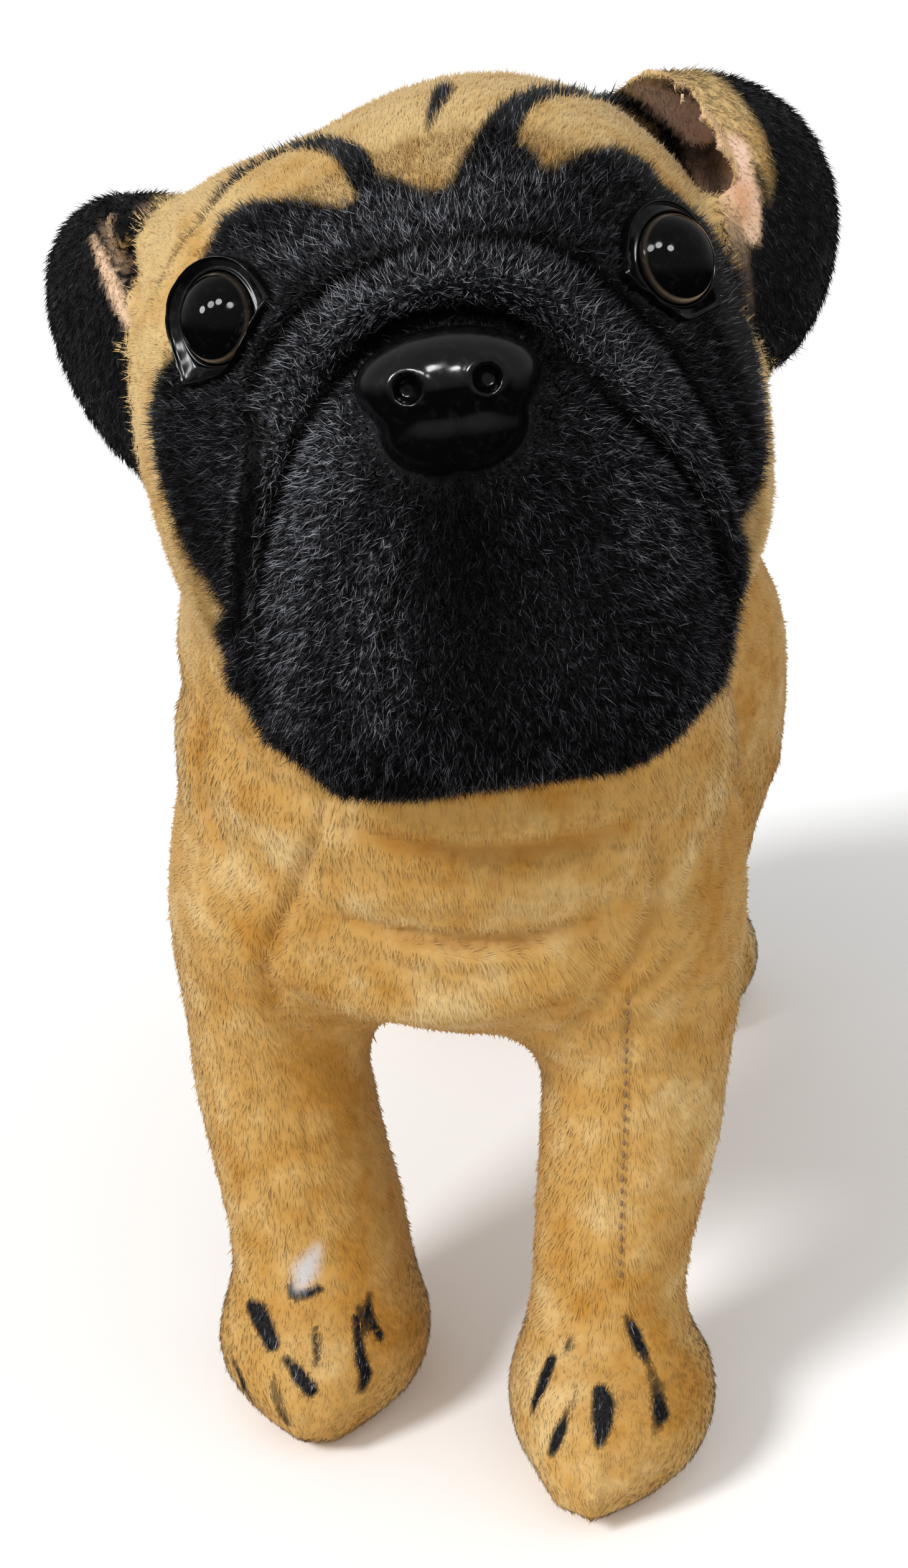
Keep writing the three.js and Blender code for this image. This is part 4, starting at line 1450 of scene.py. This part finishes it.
def plush_colour_group() -> NodeTree:
    """The colour of the dyed plush at one point, for skin and pile alike, with its painted light and shade.

    Returns:
        A group with the markings as inputs and a colour as output.
    """
    tree = bpy.data.node_groups.new("plush_colour", "ShaderNodeTree")
    for name in (*MARKS, "along", "chance"):
        tree.interface.new_socket(name, in_out="INPUT", socket_type="NodeSocketFloat")
    tree.interface.new_socket("Place", in_out="INPUT", socket_type="NodeSocketVector")
    for name in ("Fawn", "Pale Fawn", "Amber"):
        tree.interface.new_socket(name, in_out="INPUT", socket_type="NodeSocketColor")
    tree.interface.new_socket("Colour", in_out="OUTPUT", socket_type="NodeSocketColor")
    recipe = Recipe(tree)
    given = tree.nodes.new("NodeGroupInput").outputs
    place, tint, deep, glint, dark, along, chance = (
        given[name] for name in ("Place", "tint", "deep", "glint", "dark", "along", "chance")
    )
    wide, close = recipe.noise(place, 24, 3), recipe.noise(place, 95, 4, 0.6)
    mottle = recipe.math("ADD", recipe.times(wide, 0.55), recipe.times(close, 0.45))
    mottle = recipe.math("ADD", mottle, recipe.times(tint, 0.11))
    fawn = recipe.blend(recipe.scaled(mottle, 0.38, 0.5, 0, 1), given["Amber"], given["Fawn"])
    fawn = recipe.blend(recipe.scaled(mottle, 0.53, 0.69, 0, 1), fawn, given["Pale Fawn"])
    # Each tuft a little darker at its root, a slight painted shade among the tufts, with a random tone a
    # tuft.
    uneven = recipe.scaled(chance, 0, 1, -0.045, 0.045)
    root_shade_and_tone = recipe.math("ADD", recipe.scaled(along, 0, 1, 0.97, 1.02), uneven)
    fawn = recipe.blend(1.0, fawn, root_shade_and_tone, "MULTIPLY")
    # Grey tips on a few random fibres, partly painted sparkle: the painted glints lift them and the painted
    # shade takes them away.
    tip_grey_and_glint = recipe.math("MULTIPLY_ADD", recipe.math("POWER", chance, 6.0), 0.62, 0.004)
    lift = recipe.math("ADD", recipe.scaled(glint, -1, 0, 0.03, 1.3), recipe.scaled(glint, 0, 1.2, 0, 15.0))
    tip_grey_and_glint = recipe.times(tip_grey_and_glint, lift)
    tip_grey_and_glint = recipe.times(tip_grey_and_glint, recipe.scaled(recipe.noise(place, 620, 2), 0.38, 0.64, 0.3, 1.9))
    grey = recipe.times(recipe.math("POWER", along, 1.6), tip_grey_and_glint)
    # Painted shade blackens the pile in the grooves.
    grey = recipe.times(grey, recipe.scaled(deep, 0, 0.5, 1, 0.02))
    black = recipe.blend(grey, BLACK_DYE, GREY_TIPS_AND_GLINTS)
    edge = recipe.math("SUBTRACT", recipe.times(dark, 1.9), recipe.math("ADD", chance, 0.1))
    cover = recipe.math("MULTIPLY_ADD", edge, 2.2, 0.5, clamp=True)
    colour = recipe.blend(recipe.math("MINIMUM", cover, recipe.times(dark, 1.5)), fawn, black)
    lining = recipe.blend(recipe.noise(place, 60, 2), *LINING_PINKS)
    colour = recipe.blend(given["pink"], colour, lining)
    # Painted shade in the creases: a warm brown darkening.
    shaded_colour = recipe.blend(1.0, colour, CREASE_SHADE, "MULTIPLY")
    colour = recipe.blend(recipe.times(deep, 0.8), colour, shaded_colour)
    colour = recipe.blend(given["bare"], colour, BARE_CLOTH)
    made = tree.nodes.new("NodeGroupOutput")
    tree.links.new(colour, made.inputs[0])
    return tree


@dataclass(frozen=True)
class PlushFinish:
    """The dyed plush: its three tans, its gloss and the depth of its bumps."""

    name: str
    group: NodeTree
    fawn: Triple = (0.485, 0.275, 0.076)
    pale: Triple = (0.62, 0.43, 0.19)
    amber: Triple = (0.42, 0.20, 0.033)
    sheen: float = 0.08
    roughness: float = 0.65
    level: float = 0.2
    bump: float = 0.0
    on_pile: bool = True

    def make(self) -> Material:
        """Builds the material.

        Returns:
            The material.
        """
        recipe = MaterialRecipe(self.name)
        place = recipe.place
        names = (*MARKS, "along", "chance") if self.on_pile else MARKS
        values = {name: recipe.marked(name) for name in names}
        if not self.on_pile:
            values.update({"along": 0.5, "chance": recipe.noise(place, 1500, 1)})
        values.update({"Place": place, "Fawn": self.fawn, "Pale Fawn": self.pale, "Amber": self.amber})
        group = recipe.node("Group", {"node_tree": self.group})
        for name, value in values.items():
            recipe.put(group.inputs[name], value)
        bump = None
        if self.bump:
            cells = recipe.node("TexVoronoi", {"feature": "F1"}, Vector=place, Scale=1300.0)
            height = recipe.math("ADD", cells.outputs["Distance"], recipe.noise(place, 700, 3))
            bump = (0.35, self.bump, height)
        return recipe.finished(
            bump, Base_Color=group.outputs[0], Roughness=self.roughness, Specular_IOR_Level=self.level,
            Sheen_Weight=self.sheen, Sheen_Roughness=0.45,
        )


@dataclass(frozen=True)
class PlasticFinish:
    """Moulded plastic: base colour, gloss, and fine scratches and dust in its roughness."""

    name: str
    colour: Triple = (0.0016, 0.0016, 0.0018)
    roughness: float = 0.09
    level: float = 0.22
    grain: float = 0.02 * MM
    dust: Triple = (0.008, 0.008, 0.009)
    bronze: tuple[Triple, ...] = ((0.26, 0.17, 0.10), (0.50, 0.38, 0.26))
    ring: bool = False

    def make(self) -> Material:
        """Builds the material.

        Returns:
            The material.
        """
        recipe = MaterialRecipe(self.name)
        wear = recipe.noise(recipe.place, 420, 4, 0.65)
        rough = recipe.scaled(wear, 0.42, 0.75, self.roughness, self.roughness + 0.12)
        colour: object = recipe.blend(recipe.scaled(wear, 0.55, 0.8, 0, 1), self.colour, self.dust)
        if self.ring:
            bronze = recipe.blend(recipe.noise(recipe.place, 900, 2), *self.bronze)
            colour = recipe.blend(recipe.marked("iris"), colour, bronze)
        bump = (0.25, self.grain, recipe.noise(recipe.place, 260, 3))
        return recipe.finished(bump, Base_Color=colour, Roughness=rough, Specular_IOR_Level=self.level)


@dataclass(frozen=True)
class ThreadFinish:
    """The sewing thread: dull brown with a twist."""

    name: str = "thread"
    browns: tuple[Triple, ...] = ((0.13, 0.062, 0.022), (0.27, 0.14, 0.055))

    def make(self) -> Material:
        """Builds the material.

        Returns:
            The material.
        """
        recipe = MaterialRecipe(self.name)
        settings = {"bands_direction": "DIAGONAL"}
        wave = recipe.node("TexWave", settings, Vector=recipe.place, Scale=900.0, Distortion=1.0)
        twist = wave.outputs["Fac"]
        colour = recipe.blend(twist, *self.browns)
        return recipe.finished((0.5, 0.05 * MM, twist), Base_Color=colour, Roughness=0.7)


# Moulded parts and thread


def mesh_of(shape: bmesh.types.BMesh, name: str) -> Mesh:
    """A smooth mesh of a shape.

    Args:
        shape: The shape. It is freed.
        name: The mesh's name.

    Returns:
        The mesh.
    """
    mesh = bpy.data.meshes.new(name)
    shape.to_mesh(mesh)
    shape.free()
    mesh.shade_smooth()
    return mesh


@dataclass(frozen=True)
class EyeDome:
    """The glossy eyeball, a dome with a thin bronze ring under its surface."""

    seat: EyeSeat
    head: HeadPose
    behind: float = 5.0 * MM
    ring_at: float = 61.0
    ring_half_width: float = 2.6

    def build(self, finish: Material) -> Object:
        """Makes the dome.

        Args:
            finish: Its material.

        Returns:
            The object.
        """
        shape = bmesh.new()
        bmesh.ops.create_uvsphere(shape, u_segments=72, v_segments=48, radius=self.seat.radius)
        bmesh.ops.bisect_plane(
            shape, geom=shape.verts[:] + shape.edges[:] + shape.faces[:], plane_co=(0, 0, -self.behind),
            plane_no=(0, 0, -1), clear_outer=True,
        )
        bmesh.ops.holes_fill(shape, edges=[e for e in shape.edges if e.is_boundary])
        layer = shape.verts.layers.float.new("iris")
        for vert in shape.verts:
            angle = math.degrees(math.atan2(math.hypot(vert.co.x, vert.co.y), vert.co.z))
            around = math.atan2(vert.co.y, vert.co.x * self.seat.side.value)
            outer = 0.08 + 0.92 * (0.5 + 0.5 * math.cos(around + 0.5)) ** 1.6
            vert[layer] = math.exp(-(((angle - self.ring_at) / self.ring_half_width) ** 4)) * outer
        axes = self.seat.axes()
        rows = np.column_stack([axes.T, self.seat.centre]).tolist()
        place = Matrix([*rows, [0, 0, 0, 1]])
        bmesh.ops.transform(shape, matrix=self.head.matrix() @ place, verts=shape.verts)
        word = self.seat.side.word
        mesh = mesh_of(shape, "dome")
        return piece_of(mesh, f"eye_dome_{word}", finish, "black_plastic", (f"eye_{word}",))


@dataclass(frozen=True)
class EyeRim:
    """The frame round an eye: a thin moulded plate that rises towards the eyeball. Lengths in metres.

    Inner is the frame's inner radius and ball its inner height, as shares of the eyeball's radius.
    """

    seat: EyeSeat
    head: HeadPose
    around: int = 132
    rings: int = 18
    sunk: float = 3.5 * MM
    edge: float = 2.3 * MM
    bead: float = 0.7 * MM
    lip: float = 0.6 * MM
    back: float = 3.0 * MM
    look_from: float = 30 * MM
    inner: float = 0.94
    ball: float = 0.34

    @property
    def angles(self) -> list[float]:
        """Even steps round the gaze."""
        return [2 * math.pi * step / self.around for step in range(self.around)]

    def profile(self, share: float, angle: float, skin: float) -> tuple[float, float]:
        """One point of the frame's section.

        Args:
            share: Below 0 under the outer edge, 0 on it, 1 at the eyeball.
            angle: The direction round the gaze.
            skin: How far the skin lies along the gaze there.

        Returns:
            The radius from the gaze line and the height along it.
        """
        outer = float(self.seat.outline(np.array(angle)))
        inner, ball = self.seat.radius * self.inner, self.seat.radius * self.ball
        if share < 0:
            return outer - 0.3 * MM, skin - self.sunk
        start = skin + self.edge
        height = start + (ball - start) * share * share * (3 - 2 * share)
        height += self.bead * math.exp(-(((share - 0.12) / 0.08) ** 2))
        height += self.lip * math.exp(-(((share - 0.9) / 0.08) ** 2))
        height -= 0.8 * MM * max(0.0, 1 - share / 0.06) ** 2
        return outer + (inner - outer) * share, height

    def spot(self, angle: float, radius: float, height: float) -> Points:
        """The toy's point at an angle and radius round the gaze and a height along it."""
        across, up, gaze = self.seat.axes()
        local = self.seat.centre + (across * math.cos(angle) + up * math.sin(angle)) * radius + gaze * height
        return self.head.outward(local[None])[0]

    def skin_heights(self, surface: Surface) -> Points:
        """How far the skin lies along the gaze at even steps round the frame's edge.

        Args:
            surface: The skin.

        Returns:
            The heights, in metres.
        """
        gaze = Vector(np.array(self.head.matrix())[:3, :3] @ self.seat.axes()[2])
        heights = []
        for angle in self.angles:
            foot = self.spot(angle, float(self.seat.outline(np.array(angle))), self.look_from)
            hit = surface.tree.ray_cast(Vector(foot), -gaze)
            heights.append(self.look_from - hit[3] if hit[0] is not None else 0.0)
        heights = np.array(heights)
        for _ in range(3):
            heights = (np.roll(heights, 1) + heights * 2 + np.roll(heights, -1)) / 4
        return heights

    def build(self, surface: Surface, finish: Material) -> Object:
        """Makes the frame.

        Args:
            surface: The skin.
            finish: Its material.

        Returns:
            The object.
        """
        shape = bmesh.new()
        loops: list[list[bmesh.types.BMVert]] = [[] for _ in range(self.rings + 2)]
        for angle, skin in zip(self.angles, self.skin_heights(surface)):
            for ring in range(self.rings + 1):
                radius, height = self.profile((ring - 1) / (self.rings - 1), angle, float(skin))
                loops[ring].append(shape.verts.new(self.spot(angle, radius, height)))
            loops[-1].append(shape.verts.new(self.spot(angle, self.seat.radius * self.inner, -self.back)))
        rims = [[shape.edges.new((row[k - 1], row[k])) for k in range(len(row))] for row in loops]
        for lower, upper in zip(rims, rims[1:]):
            bmesh.ops.bridge_loops(shape, edges=lower + upper)
        bmesh.ops.bridge_loops(shape, edges=rims[-1] + rims[0])
        bmesh.ops.recalc_face_normals(shape, faces=shape.faces)
        word = self.seat.side.word
        mesh = mesh_of(shape, "rim")
        return piece_of(mesh, f"eye_rim_{word}", finish, "black_plastic", (f"eyelids_{word}",))


@dataclass(frozen=True)
class Nose:
    """The moulded nose: a bridge, a lower lobe, and a raised ring round each nostril.

    Lengths are in metres, in the head's frame. A lump is x, y, z and three radii in millimetres, mirrored
    about the middle.
    """

    head: HeadPose
    voxel: float = 0.45 * MM
    middle: float = 1.2 * MM
    lumps: tuple[tuple[float, ...], ...] = (
        (0, -66.4, 3.0, 17.6, 14.2, 9.8),
        (2.6, -66.2, -5.2, 11.6, 11.2, 9.4),
        (6.6, -69.0, 1.8, 9.4, 9.2, 8.8),
    )
    nostril: tuple[float, float] = (7.2 * MM, 2.4 * MM)
    hole: float = 2.7 * MM
    pit: float = 3.6 * MM
    ring: float = 0.3 * MM
    ring_width: float = 0.9 * MM
    groove: float = 0.4 * MM
    groove_width: float = 1.5 * MM
    groove_top: float = 1 * MM
    front: float = -68 * MM
    smoothing: int = 60

    def lumped(self) -> Mesh:
        """Makes one skin round the lumps, in the head's frame."""
        shape = bmesh.new()
        for x, y, z, *radii in self.lumps:
            for side in Side:
                spot = Matrix.Translation((self.middle + side.value * x * MM, y * MM, z * MM))
                size = Matrix.Diagonal((*(r * MM for r in radii), 1.0))
                bmesh.ops.create_icosphere(shape, subdivisions=5, radius=1.0, matrix=spot @ size)
        return wrapped(shape, self.voxel, self.smoothing)

    def build(self, finish: Material) -> Object:
        """Makes the nose in place of its node.

        Args:
            finish: Its material.

        Returns:
            The object.
        """
        shape = bmesh.new()
        shape.from_mesh(self.lumped())
        shape.normal_update()
        for vert in shape.verts:
            local = vert.co
            if local.y > self.front:
                continue
            across = min(abs(local.x - self.middle - side.value * self.nostril[0]) for side in Side)
            away = math.hypot(across, local.z - self.nostril[1])
            raised = self.ring * math.exp(-(((away - self.hole - self.ring_width) / self.ring_width) ** 2))
            groove = self.groove * math.exp(-(((local.x - self.middle) / self.groove_width) ** 2))
            groove *= local.z < self.groove_top
            sunk = self.pit * max(0.0, 1 - (away / self.hole) ** 4)
            vert.co += vert.normal * (raised - groove) + Vector((0, sunk, 0))
        bmesh.ops.transform(shape, matrix=self.head.matrix(), verts=shape.verts)
        return piece_of(mesh_of(shape, "nose"), "nose_moulding", finish, "black_plastic", ("nose",))


@dataclass(frozen=True)
class Stitching:
    """Hand stitches along a seam, each a short thread that dips into the pile. Lengths in metres."""

    name: str
    fold: Folds
    pitch: float = 3.1 * MM
    length: float = 1.7 * MM
    radius: float = 0.38 * MM
    above: float = 1.05 * MM

    def build(self, surface: Surface, view: Viewpoint, finish: Material) -> Object:
        """Makes the row of stitches.

        Args:
            surface: The skin.
            view: Where the photograph was taken from.
            finish: Its material.

        Returns:
            The object.
        """
        rows = self.fold.value.on(surface, view).dense(0.3 * MM)[:, :3]
        length = np.r_[0, np.cumsum(np.linalg.norm(np.diff(rows, axis=0), axis=1))]
        shape = bmesh.new()
        for index, at in enumerate(np.arange(self.pitch, length[-1] - self.pitch, self.pitch)):
            spot = Vector([np.interp(at, length, rows[:, k]) for k in range(3)])
            ahead = Vector([np.interp(at + self.length, length, rows[:, k]) for k in range(3)])
            near, facing, _, _ = surface.tree.find_nearest(spot)
            along = (ahead - spot).normalized()
            facing = (facing - along * facing.dot(along)).normalized()
            across = along.cross(facing)
            size = self.length * (1 + 0.12 * math.sin(index * 2.4))
            made = bmesh.ops.create_uvsphere(shape, u_segments=8, v_segments=6, radius=1.0)
            lean = 0.12 * math.sin(index * 1.7)
            sides = (across + along * lean) * self.radius, facing * self.radius, along * (size / 2)
            columns = (*sides, near + facing * self.above)
            place = Matrix([*zip(*columns), (0, 0, 0, 1)])
            bmesh.ops.transform(shape, matrix=place, verts=made["verts"])
        bmesh.ops.recalc_face_normals(shape, faces=shape.faces)
        return piece_of(mesh_of(shape, "stitches"), self.name, finish, "fawn_plush")


# Floor and light


@dataclass(frozen=True)
class Studio:
    """A plain pale floor and soft light, in metres, watts a square metre and degrees.

    The windows give highlights only. Wide holds the widths of the key light, the fill light and a window.
    """

    floor_size: float = 8.0
    white: tuple[float, float, float, float] = (0.96, 0.96, 0.96, 1)
    world: float = 0.5
    horizon: tuple[float, float] = (-0.3, 0.1)
    key: float = 2.3
    key_toward: Triple = (-0.5, -0.58, 0.66)
    fill: float = 1.0
    fill_toward: Triple = (0.7, -0.75, 0.5)
    window: float = 2.4
    windows_toward: tuple[Triple, ...] = ((-0.25, -0.7, 0.95), (0.3, -0.8, 0.9), (-0.95, -0.6, 0.5))
    wide: Triple = (15, 130, 14)

    def lamp(self, name: str, toward: Triple, strength: float, angle: float) -> Object:
        """Adds a distant soft light.

        Args:
            name: Its name.
            toward: The direction in which it is seen from the toy.
            strength: Its strength.
            angle: How wide it looks, in degrees.

        Returns:
            The light.
        """
        data = bpy.data.lights.new(name, "SUN")
        data.energy, data.angle = strength, math.radians(angle)
        light = linked(name, data)
        light.rotation_euler = Vector(toward).to_track_quat("Z", "Y").to_euler()
        return light

    def build(self) -> None:
        """Makes the floor, the lights and the sky."""
        shape = bmesh.new()
        bmesh.ops.create_grid(shape, x_segments=8, y_segments=8, size=self.floor_size / 2)
        mesh = bpy.data.meshes.new("floor")
        shape.to_mesh(mesh)
        shape.free()
        mesh.materials.append(MaterialRecipe("pale_floor").finished(Base_Color=self.white, Roughness=0.9))
        floor = linked("floor", mesh)
        floor.visible_glossy = False
        key_wide, fill_wide, window_wide = self.wide
        self.lamp("key_light", self.key_toward, self.key, key_wide)
        self.lamp("fill_light", self.fill_toward, self.fill, fill_wide).visible_glossy = False
        for number, toward in enumerate(self.windows_toward):
            self.lamp(f"window_light_{number}", toward, self.window, window_wide).visible_diffuse = False
        world = bpy.data.worlds.new("sky")
        bpy.context.scene.world = world
        world.use_nodes = True
        sky = world.node_tree.nodes["Background"].inputs
        sky["Color"].default_value = (1, 1, 1, 1)
        recipe = Recipe(world.node_tree)
        parts = recipe.node("SeparateXYZ", None, Vector=recipe.node("TexCoord").outputs["Generated"])
        recipe.put(sky["Strength"], recipe.scaled(parts.outputs["Z"], *self.horizon, 0, self.world))
        bpy.context.scene.view_settings.view_transform = "Standard"


def piece_tree(piece: Object) -> BVHTree:
    """A search tree over a piece's faces."""
    mesh = piece.data
    points = [tuple(v.co) for v in mesh.vertices]
    return BVHTree.FromPolygons(points, [tuple(p.vertices) for p in mesh.polygons])


def main() -> None:
    """Builds the toy's pieces in order."""
    logging.basicConfig(level=logging.INFO, format="%(relativeCreated)6d ms %(message)s")
    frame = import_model()
    nodes = frame["nodes"]
    view, head = Viewpoint(), HeadPose()
    view.place_camera()
    Studio().build()
    seats = tuple(EyeSeat(side) for side in Side)

    skin = PlushSkin()
    surface = skin.build(nodes, view, head, seats)
    LOG.info("skin: %d faces", len(surface.quads))
    markings = Markings(surface, view, head)
    markings.lay_out()
    group = plush_colour_group()
    skin_finish = PlushFinish("plush_skin", group, level=0.05, bump=0.15 * MM, on_pile=False).make()
    skin.show(surface, markings.at(Spots(surface.co, surface.normal, surface.owner)), skin_finish)
    LOG.info("skin is dressed")

    gloss = PlasticFinish("eye_plastic", roughness=0.03, level=0.1, ring=True).make()
    moulded = PlasticFinish("moulded_plastic", roughness=0.15, level=0.2).make()
    for seat in seats:
        EyeDome(seat, head).build(gloss)
        EyeRim(seat, head).build(surface, moulded)
    nose = Nose(head).build(PlasticFinish("nose_plastic", roughness=0.14, level=0.26).make())
    thread = ThreadFinish().make()
    Stitching("stitches_leg_left", Folds.LEG_SEAM_LEFT).build(surface, view, thread)

    pile_finish = PlushFinish("plush_pile", group, level=0.12).make()
    mask_finish = PlushFinish("mask_pile", group, sheen=0.0, roughness=0.45, level=0.05).make()
    ear_finish = PlushFinish(
        "ear_pile", group, (0.46, 0.31, 0.13), (0.56, 0.41, 0.20), (0.36, 0.22, 0.075), 0.02, level=0.06
    ).make()
    coat = Coat(surface, markings, head, seats, piece_tree(nose))
    for fleece in FLEECES:
        coat.build(fleece, {Pile.FACE: mask_finish, Pile.EAR: ear_finish}.get(fleece.pile, pile_finish))


if __name__ == "__main__":
    main()
